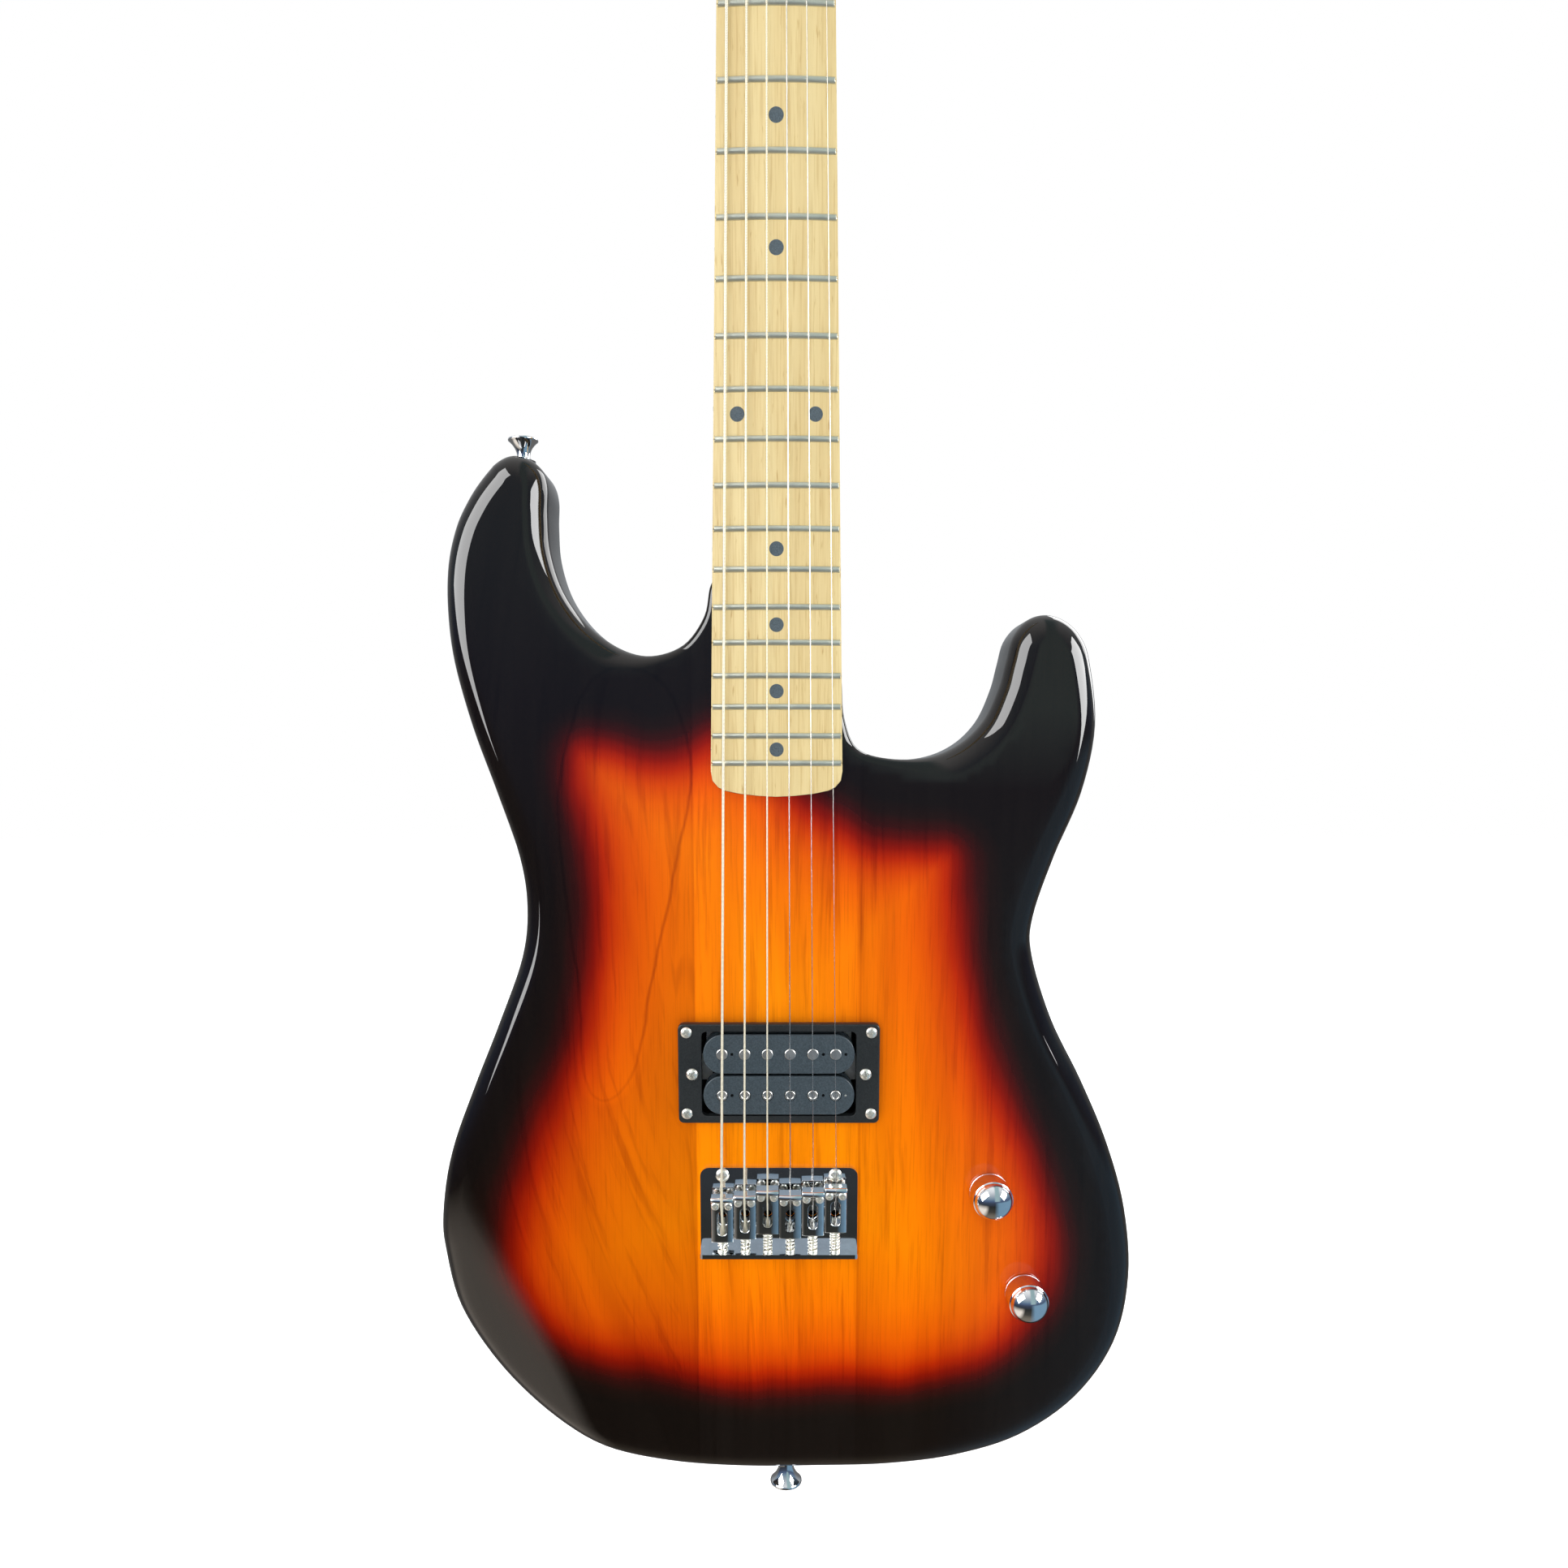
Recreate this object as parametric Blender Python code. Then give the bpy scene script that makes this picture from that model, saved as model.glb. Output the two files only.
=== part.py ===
"""Solid-body electric guitar: bolt-on neck, one humbucker, hardtail bridge, two knobs.

Frame: +Z runs up the neck, +X to the treble side, and the front faces -Y. The origin is on the
centreline, at the nut's front edge, on the fingerboard's surface. All lengths in this file are in
millimetres, and MM turns them into Blender's metres when a mesh is made.
"""
import math

import bmesh
import bpy
from mathutils import Matrix, Vector

MM = 0.001
GAP = 0.3                       # running and resting gap between two solids

# ---------------------------------------------------------------- driving dimensions
SCALE_LENGTH = 648.0            # nut to saddle, before compensation
LAST_FRET = 21
HARDWARE_X = 0.9                # the pickup and bridge sit this far to the treble side

BODY_FRONT = 9.5                # y of the body's face, below the fingerboard's surface
BODY_THICK = 43.0
BODY_BACK = BODY_FRONT + BODY_THICK
BODY_MIDDLE = BODY_FRONT + BODY_THICK / 2
EDGE_RADIUS = 11.0
HEEL_EDGE_RADIUS = 2.5          # the edge is nearly square beside the neck

NUT_WIDTH = 41.4
HEEL_WIDTH = 56.2               # at the last fret
BOARD_THICK = 4.8
BOARD_RADIUS = 240.0
NECK_TOP = BOARD_THICK + GAP
NECK_END = -469.5
HEEL_DEPTH = 25.4               # y of the heel's flat back

HEAD_FACE = 8.0
HEAD_THICK = 14.0
HEAD_BACK = HEAD_FACE + HEAD_THICK

STRING_COUNT = 6
STRING_DIAMETERS = (1.17, 0.91, 0.66, 0.43, 0.33, 0.25)
NUT_SPAN = 34.6                 # first string to last, at the nut
BRIDGE_SPAN = 51.2
NUT_STRING_Y = -1.5             # string axis on the centreline
BRIDGE_STRING_Y = -5.0
CREST_Z = (-649.3, -647.8, -645.3, -647.4, -646.1, -644.6)
SADDLE_TRAVEL = 2.0

FIRST_POST = (-20.3, 32.0)      # x and z of the low string's post
POST_STEP = (6.53, 25.17)
POST_WAIST = 2.5                # radius where the string winds
WRAP_TURNS = 1.75

PICKUP_Z = -592.8
RING_SIZE = (90.0, 45.5)
RING_TOP = 5.2
BOBBIN_SIZE = (67.4, 17.8)
BOBBIN_STEP = 18.8
HEIGHT_SCREW_X = 38.7

PLATE_TOP = 7.2                 # y of the bridge plate's upper side
PLATE_FRONT_Z = -637.1
PLATE_REAR_Z = -676.7
LIP_TOP = -2.0
LIP_THICK = 2.0
ANCHOR_Y = 5.4                  # height of the string holes in the lip

KNOBS = {"volume": (96.8, -649.2), "tone": (114.3, -697.8)}
TOP_WOOD = 17.5                 # y of the control cavity's floor
JACK_Z = -696.0
JACK_SEAT_X = 162.6             # flat cut in the body's side

# Half of the body's plan: x and z of the points its smooth edge runs through, in order.
BODY_OUTLINE = (
    (-28, -380), (-31, -393), (-40, -405), (-54, -409.5), (-68, -406), (-82, -396),
    (-92, -382), (-97, -366), (-97.8, -351), (-97.5, -339.5), (-99.7, -332), (-105.4, -327.2),
    (-112.5, -326), (-119.4, -329.2), (-126, -336), (-132, -344.5), (-137.5, -355.5), (-141.5, -371), (-142.5, -390),
    (-140.5, -412), (-133.5, -440), (-124, -468), (-115, -496.5), (-112.3, -519),
    (-115.2, -542), (-126.5, -572), (-139, -602), (-150.5, -632.5), (-157.5, -664.5),
    (-158, -684), (-153, -713.5), (-136, -742), (-112, -764.5), (-83, -780),
    (-51, -787.5), (-16, -790.2), (20, -790), (52.5, -789), (85, -784.5), (116, -774),
    (142.5, -754), (160, -726), (165.5, -693.5), (162, -660), (152.5, -628.5),
    (139.5, -599), (125, -570.5), (115.3, -541), (115.3, -523.5), (124, -496),
    (135, -468), (140, -439), (136.3, -411), (131.5, -400), (124.2, -393.7), (115.8, -391.6),
    (108.3, -394.2), (102.8, -401), (100.2, -411), (97.3, -422.5), (91, -436.5), (80.3, -447), (66, -452.8),
    (48.5, -453.3), (35, -448.8), (29.3, -436), (28, -420), (26.5, -405),
    (21, -396.5), (8, -388), (-10, -380), (-22, -375.5),
)
HEEL_CORNER = ((28.1, -458.6), (27.4, -462.7), (25.0, -465.5), (22.2, -466.9),
               (16.0, -468.2), (8.0, -469.1))
HEAD_OUTLINE = (
    (20.6, 4), (20.8, 10), (22.5, 20), (25.5, 38), (28, 70), (31, 110), (35, 150), (37, 168),
    (32, 181), (21, 186), (10, 181), (3.7, 170.4), (-8, 124), (-21, 74), (-34, 24),
    (-31.5, 15.5), (-24.5, 11), (-21.2, 8), (-20.6, 4),
)
CONTROL_CAVITY = (
    (80, -640), (91, -627), (110, -630), (126, -652), (137, -684), (140, -706),
    (130, -717), (110, -718), (92, -694), (82, -664),
)


# ---------------------------------------------------------------- shapes, as bmeshes in mm
def smooth_loop(points, per_span, closed=True):
    """Points on a Catmull-Rom curve through the given ones, closed or open."""
    count = len(points)
    result = []
    for i in range(count if closed else count - 1):
        if closed:
            around = [(i + k) % count for k in (-1, 0, 1, 2)]
        else:
            around = [min(max(i + k, 0), count - 1) for k in (-1, 0, 1, 2)]
        a, b, c, d = (Vector(points[k]) for k in around)
        for k in range(per_span):
            t = k / per_span
            result.append(0.5 * (2 * b + (c - a) * t + (2 * a - 5 * b + 4 * c - d) * t ** 2
                                 + (3 * b - a - 3 * c + d) * t ** 3))
    return result if closed else result + [Vector(points[-1])]


def loop_normals(loop):
    """Unit vectors pointing out of a counter-clockwise or clockwise loop."""
    count = len(loop)
    area = sum(loop[i].x * loop[(i + 1) % count].y - loop[(i + 1) % count].x * loop[i].y
               for i in range(count))
    side = 1 if area > 0 else -1
    normals = []
    for i in range(count):
        along = loop[(i + 1) % count] - loop[i - 1]
        normals.append(side * Vector((along.y, -along.x)).normalized())
    return normals


def grown(loop, amount):
    return [p + n * amount for p, n in zip(loop, loop_normals(loop))]


def rounded_rectangle(centre, size, radius, steps=4):
    """Corner arcs of a rectangle in a plane."""
    points = []
    for k, (sx, sy) in enumerate(((1, 1), (-1, 1), (-1, -1), (1, -1))):
        cx = centre[0] + sx * (size[0] / 2 - radius)
        cy = centre[1] + sy * (size[1] / 2 - radius)
        for s in range(steps + 1):
            angle = math.pi / 2 * (k + s / steps)
            points.append((cx + radius * math.cos(angle), cy + radius * math.sin(angle)))
    return points


def loft(rings):
    """A closed solid through rings of the same number of points, with flat ends."""
    bm = bmesh.new()
    made = [[bm.verts.new(p) for p in ring] for ring in rings]
    count = len(rings[0])
    for low, high in zip(made, made[1:]):
        for i in range(count):
            j = (i + 1) % count
            bm.faces.new((low[i], low[j], high[j], high[i]))
    bm.faces.new(made[0])
    bm.faces.new(made[-1])
    bmesh.ops.recalc_face_normals(bm, faces=bm.faces)
    return bm


def prism(outline, axis, low, high):
    """An outline pulled along X, Y or Z. The outline's two numbers are the other two axes."""
    def place(point, level):
        values = list(point)
        values.insert("XYZ".index(axis), level)
        return values
    return loft([[place(p, level) for p in outline] for level in (low, high)])


def box(low, high):
    corners = ((low[0], low[2]), (high[0], low[2]), (high[0], high[2]), (low[0], high[2]))
    return prism(corners, "Y", low[1], high[1])


def turned(profile, start, direction, segments=16):
    """A profile of (radius, distance) turned about the line from start along direction.

    A profile that starts and ends at radius 0 makes a solid. Any other is a closed ring.
    """
    turn = Vector(direction).to_track_quat("Z", "Y").to_matrix().to_4x4()
    matrix = Matrix.Translation(start) @ turn
    solid = profile[0][0] == 0 and profile[-1][0] == 0
    bm = bmesh.new()
    rings = []
    for radius, along in profile:
        spots = 1 if radius == 0 else segments
        rings.append([bm.verts.new(matrix @ Vector((
            radius * math.cos(2 * math.pi * k / segments),
            radius * math.sin(2 * math.pi * k / segments), along))) for k in range(spots)])
    pairs = list(zip(rings, rings[1:]))
    if not solid:
        pairs.append((rings[-1], rings[0]))
    for low, high in pairs:
        for k in range(segments):
            corners = [low[k % len(low)], low[(k + 1) % len(low)],
                       high[(k + 1) % len(high)], high[k % len(high)]]
            bm.faces.new(list(dict.fromkeys(corners)))
    bmesh.ops.recalc_face_normals(bm, faces=bm.faces)
    return bm


def rod(radius, start, end, segments=12):
    span = Vector(end) - Vector(start)
    profile = ((0, 0), (radius, 0), (radius, span.length), (0, span.length))
    return turned(profile, start, span, segments)


# ---------------------------------------------------------------- objects
def material(name, colour, roughness, metallic):
    made = bpy.data.materials.new(name)
    made.use_nodes = True
    shader = made.node_tree.nodes["Principled BSDF"]
    shader.inputs["Base Color"].default_value = (*colour, 1)
    shader.inputs["Roughness"].default_value = roughness
    shader.inputs["Metallic"].default_value = metallic
    return made


def part(name, bm, finish, origin=(0, 0, 0), smooth=35):
    """A named object from a bmesh in mm, with its origin on the given point."""
    origin = Vector(origin)
    for vertex in bm.verts:
        vertex.co = (vertex.co - origin) * MM
    mesh = bpy.data.meshes.new(name)
    bm.to_mesh(mesh)
    bm.free()
    mesh.shade_smooth()
    mesh.set_sharp_from_angle(angle=math.radians(smooth))
    if finish:
        mesh.materials.append(finish)
    obj = bpy.data.objects.new(name, mesh)
    obj.location = origin * MM
    bpy.context.collection.objects.link(obj)
    return obj


def boolean(target, bm, operation):
    guide = part(f"{operation.lower()}_guide", bm, None)
    guide.hide_render = True
    guide.display_type = "WIRE"
    change = target.modifiers.new(operation.lower(), "BOOLEAN")
    change.operation = operation
    change.solver = "EXACT"
    change.object = guide


def cut(target, *cutters):
    for bm in cutters:
        boolean(target, bm, "DIFFERENCE")


def join(target, *pieces):
    for bm in pieces:
        boolean(target, bm, "UNION")


# ---------------------------------------------------------------- shared places
def neck_half_width(z):
    last = SCALE_LENGTH * (1 - 2 ** (-LAST_FRET / 12))
    return NUT_WIDTH / 2 + (HEEL_WIDTH - NUT_WIDTH) / 2 * -z / last


def neck_plan(top, grow=0.0):
    """The neck's outline from height top down to its rounded end, in x and z."""
    right = [(neck_half_width(top) + grow, top)]
    right += [(x + grow, z - grow * (z < HEEL_CORNER[0][1])) for x, z in HEEL_CORNER]
    return right + [(0, NECK_END - grow)] + [(-x, z) for x, z in reversed(right)]


def crown(x):
    """How far a surface with the fingerboard's radius falls away at x."""
    return x * x / (2 * BOARD_RADIUS)


def string_radius(i):
    return STRING_DIAMETERS[i] / 2


def nut_point(i):
    x = NUT_SPAN * (i / (STRING_COUNT - 1) - 0.5)
    return Vector((x, NUT_STRING_Y + crown(x), 1.9))


def bridge_point(i):
    x = HARDWARE_X + BRIDGE_SPAN * (i / (STRING_COUNT - 1) - 0.5)
    return Vector((x, BRIDGE_STRING_Y + crown(x), CREST_Z[i]))


def post_place(i):
    return Vector((FIRST_POST[0] + POST_STEP[0] * i, 0, FIRST_POST[1] + POST_STEP[1] * i))


def tuner_frame(i):
    """Local x points out of the headstock's edge, y to the back, z down the row of posts."""
    along = Vector((POST_STEP[0], 0, POST_STEP[1])).normalized()
    outward = Vector((-along.z, 0, along.x))
    columns = Matrix((outward, Vector((0, 1, 0)), -along)).transposed()
    return Matrix.Translation(post_place(i)) @ columns.to_4x4()


# ---------------------------------------------------------------- wood
def edge_radius(point):
    """The roundover is full all round, and eases out beside the neck."""
    x, z = point
    if z < -470:
        return EDGE_RADIUS
    share = min(max((abs(x) - 30) / 30, 0), 1)
    return HEEL_EDGE_RADIUS + (EDGE_RADIUS - HEEL_EDGE_RADIUS) * share ** 2 * (3 - 2 * share)


def body_rings(steps=2):
    loop = smooth_loop(BODY_OUTLINE, 2)
    normals = loop_normals(loop)
    radii = [edge_radius(p) for p in loop]
    rings = []
    for face, sign in ((BODY_FRONT, 1), (BODY_BACK, -1)):
        half = []
        for k in range(steps + 1):
            angle = math.pi / 2 * k / steps
            ring = []
            for p, n, r in zip(loop, normals, radii):
                flat = p - n * r * (1 - math.sin(angle))
                ring.append((flat.x, face + sign * r * (1 - math.cos(angle)), flat.y))
            half.append(ring)
        rings += half if sign > 0 else half[::-1]
    return rings


def make_body(finish):
    body = part("body", loft(body_rings()), finish)
    # Forearm contour: a slope that starts on a line across the lower bass bout.
    slope = math.radians(19)
    start, end = Vector((-155, BODY_FRONT, -634)), Vector((-78, BODY_FRONT, -782))
    along = (end - start).normalized()
    outward = Vector((along.z, 0, -along.x))
    falling = outward * math.cos(slope) + Vector((0, math.sin(slope), 0))
    up = falling.cross(along)
    if up.y > 0:
        up = -up
    corners = []
    for height in (0, 60):
        corners.append([start + along * a + falling * b + up * height
                        for a, b in ((-150, 3), (330, 3), (330, 160), (-150, 160))])
    # Belly contour: a wide scoop in the back, deeper towards the waist's edge.
    scoop_radius = 140
    scoop = rod(scoop_radius, (-60, BODY_BACK + scoop_radius, -535),
                (-190, BODY_BACK + scoop_radius - 39, -535), 40)
    cut(body, loft(corners), scoop)
    # Neck pocket, pickup cavity with its two ears, and the wire channel.
    centre = (HARDWARE_X, PICKUP_Z)
    cut(body,
        prism(neck_plan(-350, 0.35), "Y", 0, HEEL_DEPTH + GAP),
        prism(rounded_rectangle(centre, (72, 40), 4, 2), "Y", 0, 31),
        prism(rounded_rectangle(centre, (87, 14), 4, 2), "Y", 1, 30.5),
        rod(3.5, (30, 26, -600), (100, 26, -652), 8))
    # Control cavity from the back, with a step for its cover, and the pots' holes.
    cavity = smooth_loop(CONTROL_CAVITY, 2)
    cut(body,
        prism(cavity, "Y", TOP_WOOD, BODY_BACK + 5),
        prism(grown(cavity, 6.0), "Y", BODY_BACK - 1.9, BODY_BACK + 6),
        *(rod(5.0, (x, 0, z), (x, 25, z)) for x, z in KNOBS.values()))
    # Flat seat and bore for the output jack, and the neck screws' holes.
    cut(body,
        box((JACK_SEAT_X, BODY_MIDDLE - 10.9, JACK_Z - 17.4),
            (175, BODY_MIDDLE + 10.9, JACK_Z + 17.4)),
        rod(5.1, (120, BODY_MIDDLE, JACK_Z), (180, BODY_MIDDLE, JACK_Z)),
        *(rod(2.6, (x, 20, z), (x, 60, z), 8) for x, z in neck_screw_places()))


def neck_section(z, top):
    """A cross-section of the neck: flat on top, a C that squares off into the heel."""
    heel = min(max((-z - 372) / 26, 0), 1)
    heel = heel * heel * (3 - 2 * heel)
    back = 20.3 + 2.4 * min(-z, 372) / 372
    back += (HEEL_DEPTH - back) * heel
    power = 2 / (2.3 + 40 * heel ** 3)
    points = []
    for k in range(15):
        angle = math.pi * k / 14
        x = math.copysign(abs(math.cos(angle)) ** power, math.cos(angle))
        y = math.sin(angle) ** power if 0 < k < 14 else 0
        points.append((x * neck_half_width(z), top + (back - top) * y, z))
    return points


def make_neck(finish):
    heights = [NECK_END - 5, -430, -400, -394, -388, -382, -376, -370]
    heights += [-300, -200, -100, 0, 4.6]
    rings = [neck_section(z, NECK_TOP) for z in heights]
    for z, top, narrow, back in ((9, 6.6, 1.0, 20.4), (14, 8.4, 0.98, 21.0), (30, 9, 0.6, 21.6)):
        flat = neck_section(0, top)
        deepest = max(y for _, y, _ in flat)
        rings.append([(x * narrow, top + (y - top) * (back - top) / (deepest - top), z)
                      for x, y, _ in flat])
    neck = part("neck", loft(rings), finish)
    boolean(neck, prism(neck_plan(40, 0), "Y", -5, 40), "INTERSECT")
    head_outline = [tuple(p) for p in smooth_loop(HEAD_OUTLINE, 2, closed=False)]
    join(neck, prism(head_outline, "Y", HEAD_FACE, HEAD_BACK))
    # Truss rod channel, open under the fingerboard and behind the nut.
    cut(neck, box((-3.4, 0, -452), (3.4, 14.4, 22)))
    cut(neck, *(rod(2.4, (x, 13, z), (x, 40, z), 8) for x, z in neck_screw_places()))
    for i in range(STRING_COUNT):
        x, _, z = post_place(i)
        cut(neck, rod(3.4, (x, 0, z), (x, 40, z)))


def crowned_bar(low_z, high_z, bottom, top, half_width):
    """A bar with the fingerboard's radius on its upper side."""
    steps = 8
    upper = []
    for k in range(steps + 1):
        x = half_width * (1 - 2 * k / steps)
        upper.append((x, top + crown(x)))
    outline = [(-half_width, bottom), (half_width, bottom)] + upper
    return prism(outline, "Z", low_z, high_z)


def make_fingerboard(finish):
    board = part("fingerboard", crowned_bar(NECK_END - 2, 0, BOARD_THICK, 0, 30), finish)
    boolean(board, prism(neck_plan(0), "Y", -4, 12), "INTERSECT")


def make_nut(finish):
    nut = part("nut", crowned_bar(GAP, 3.6, BOARD_THICK, -2.1, NUT_WIDTH / 2 - 0.2), finish)
    for i in range(STRING_COUNT):
        x, y, _ = nut_point(i)
        room = string_radius(i) + GAP
        cut(nut, box((x - room, -6, -3), (x + room, y + room, 8)))


# ---------------------------------------------------------------- neck joint and controls
def neck_screw_places():
    return [(x, z) for x in (-18.5, 18.5) for z in (-410.5, -459.5)]


def make_neck_joint(steel):
    plate = part("neck_plate", prism(rounded_rectangle((0, -435), (48, 60), 5),
                                     "Y", BODY_BACK + GAP, BODY_BACK + 1.9), steel)
    places = neck_screw_places()
    cut(plate, *(rod(2.5, (x, 50, z), (x, 58, z), 8) for x, z in places))
    top = BODY_BACK + 1.9 + GAP
    profile = ((0, 14), (2.1, 17), (2.1, top), (4.3, top), (3.9, top + 1.3), (2.2, top + 2.0),
               (0, top + 2.2))
    for number, (x, z) in enumerate(places, 1):
        part(f"neck_screw_{number}", turned(profile, (x, 0, z), (0, 1, 0), 10), steel,
             origin=(x, BODY_BACK, z))


def make_truss_rod(steel):
    part("truss_rod", rod(3.0, (0, 10.8, -449), (0, 10.8, 17), 8), steel)


def make_controls(chrome, steel, plastic):
    cover = grown(smooth_loop(CONTROL_CAVITY, 2), 5.6)
    part("control_cover", prism(cover, "Y", BODY_BACK - 1.6, BODY_BACK - 0.1), plastic)
    for name, (x, z) in KNOBS.items():
        axis = (0, 1, 0)
        pot = ((3.3, 7.2), (4.6, 7.2), (4.6, TOP_WOOD + GAP), (12, TOP_WOOD + GAP),
               (12, TOP_WOOD + 9), (0, TOP_WOOD + 9), (0, 22), (3.3, 22))
        part(f"{name}_pot", turned_blind(pot, (x, 0, z), axis, 20), steel, origin=(x, 0, z))
        part(f"{name}_shaft", rod(3.0, (x, -5, z), (x, 21.5, z), 12), steel, origin=(x, 0, z))
        knob = ((5.6, 9.0), (9.0, 9.0), (9.0, -2.6), (8.2, -5.6), (6.0, -7.8), (3.0, -8.8),
                (0, -9.0), (0, -5.4), (3.3, -5.4), (3.3, 6.2), (5.6, 6.2))
        part(f"{name}_knob", turned_blind(knob, (x, 0, z), axis, 24), chrome, origin=(x, 0, z))


def turned_blind(profile, start, direction, segments):
    """A turned solid with a blind bore: its profile is a loop that touches the axis twice."""
    split = max(i for i, (radius, _) in enumerate(profile) if radius == 0)
    return turned(profile[split:] + profile[:split], start, direction, segments)


def make_jack(chrome, steel):
    flat = rounded_rectangle((BODY_MIDDLE, JACK_Z), (21, 34), 7)
    seat = JACK_SEAT_X + GAP
    plate = part("jack_plate", prism(flat, "X", seat, seat + 1.5), chrome)
    cut(plate, rod(5.1, (150, BODY_MIDDLE, JACK_Z), (180, BODY_MIDDLE, JACK_Z)))
    nut = seat + 1.5 + GAP
    profile = ((3.3, 134), (4.75, 134), (4.75, nut), (6.4, nut), (6.4, nut + 2), (3.3, nut + 2))
    part("jack_socket", turned(profile, (0, BODY_MIDDLE, JACK_Z), (1, 0, 0)), steel)


def make_strap_buttons(chrome):
    places = (("upper", (-110.3, BODY_MIDDLE, -325.6), 1, 13.0, 10.0),
              ("lower", (4.3, 27.5, -790.6), -1, 15.5, 15.0))
    for name, base, way, wide, tall in places:
        r = wide / 2
        profile = ((0, 0), (0.62 * r, 0), (0.62 * r, 0.06 * tall), (0.42 * r, 0.25 * tall),
                   (0.42 * r, 0.5 * tall), (0.66 * r, 0.8 * tall), (r, 0.9 * tall),
                   (r, 0.98 * tall), (0.8 * r, tall), (0, tall))
        part(f"strap_button_{name}", turned(profile, base, (0, 0, way)), chrome, origin=base)


# ---------------------------------------------------------------- pickup
def make_pickup(black, steel, nickel):
    centre = (HARDWARE_X, PICKUP_Z)
    ring = part("pickup_ring", prism(rounded_rectangle(centre, RING_SIZE, 2, 2),
                                     "Y", RING_TOP, BODY_FRONT - GAP), black)
    screws = [HARDWARE_X + side * HEIGHT_SCREW_X for side in (-1, 1)]
    cut(ring, prism(rounded_rectangle(centre, (69, 38.6), 3, 2), "Y", 0, 12),
        *(rod(1.9, (x, 0, PICKUP_Z), (x, 12, PICKUP_Z), 10) for x in screws))
    for number, x in enumerate(screws, 1):
        head = RING_TOP - GAP
        profile = ((0, 27), (1.5, 27), (1.5, head), (2.7, head), (2.5, head - 1.1),
                   (1.4, head - 1.7), (0, head - 1.9))
        part(f"pickup_height_screw_{number}",
             turned(profile, (x, 0, PICKUP_Z), (0, 1, 0), 10), steel)
    for name, side in (("neck", 1), ("bridge", -1)):
        place = (HARDWARE_X, PICKUP_Z + side * BOBBIN_STEP / 2)
        outline = rounded_rectangle(place, BOBBIN_SIZE, BOBBIN_SIZE[1] / 2 - 0.01, 6)
        part(f"{name}_side_coil", prism(outline, "Y", 5.9, 13.9), black)
    magnet = (60, 3.4, 12)
    low = (HARDWARE_X - magnet[0] / 2, 14.2, PICKUP_Z - magnet[2] / 2)
    part("pickup_magnet", box(low, [a + b for a, b in zip(low, magnet)]), steel)
    base = part("pickup_baseplate", prism(rounded_rectangle(centre, (66, 36), 1.5, 1),
                                          "Y", 17.9, 19.1), nickel)
    join(base, prism(rounded_rectangle(centre, (84, 12), 3, 2), "Y", 17.9, 19.1))
    cut(base, *(rod(1.9, (x, 10, PICKUP_Z), (x, 25, PICKUP_Z), 10) for x in screws))


# ---------------------------------------------------------------- bridge
def make_bridge_plate(chrome):
    low, high = HARDWARE_X - 35.8, HARDWARE_X + 35.8
    z_low, z_high = PLATE_REAR_Z, PLATE_FRONT_Z
    corner = 4
    outline = [(low, z_low), (high, z_low)]
    for side, x in ((1, high - corner), (-1, low + corner)):
        arc = [(x + corner * math.sin(a) * side, z_high - corner + corner * math.cos(a))
               for a in (math.pi / 2, math.pi / 4, 0)]
        outline += arc[::side]
    plate = part("bridge_plate", prism(outline, "Y", PLATE_TOP, BODY_FRONT - GAP), chrome)
    join(plate, box((low, LIP_TOP, z_low), (high, PLATE_TOP + 1, z_low + LIP_THICK)))
    for side in (-1, 1):
        x = HARDWARE_X + side * BRIDGE_SPAN / 2
        cut(plate, rod(1.9, (x, 0, -640.6), (x, 12, -640.6), 8))
    for i in range(STRING_COUNT):
        x = bridge_point(i).x
        cut(plate, rod(1.5, (x, ANCHOR_Y, -680), (x, ANCHOR_Y, -670), 8))


def make_saddle(i, chrome):
    """A bent-steel saddle: crest in front, slotted plate, short rear flange, two legs."""
    x, axis_y, z = bridge_point(i)
    top = axis_y + string_radius(i) + GAP
    sheet = 1.4
    level = 0.6
    bottom = level + sheet + 1.4
    profile = ((bottom, 1.4), (top + 1.0, 1.4), (top, 0.5), (top, -0.5), (level, -4.2),
               (level, -20.5), (level + 0.7, -21.2), (bottom, -21.2), (bottom, -21.2 + sheet),
               (level + sheet, -21.2 + sheet), (level + sheet, -4.9), (top + 2.0, -0.9),
               (top + 2.4, 0.0), (bottom, 0.0))
    outline = [(y, z + dz) for y, dz in profile]
    saddle = part(f"saddle_{i + 1}", prism(outline, "X", x - 4.95, x + 4.95), chrome,
                  origin=(x, PLATE_TOP, z))
    cut(saddle, box((x - 2.15, -4, z - 17.4), (x + 2.15, 3, z - 6.2)))
    join(saddle, *(rod(1.45, (x + side * 3, -2.6, z - 2.3), (x + side * 3, 6.9, z - 2.3), 8)
                   for side in (-1, 1)))


# ---------------------------------------------------------------- tuners
def in_tuner_frame(i, bm):
    bm.transform(tuner_frame(i))
    return bm


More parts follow.
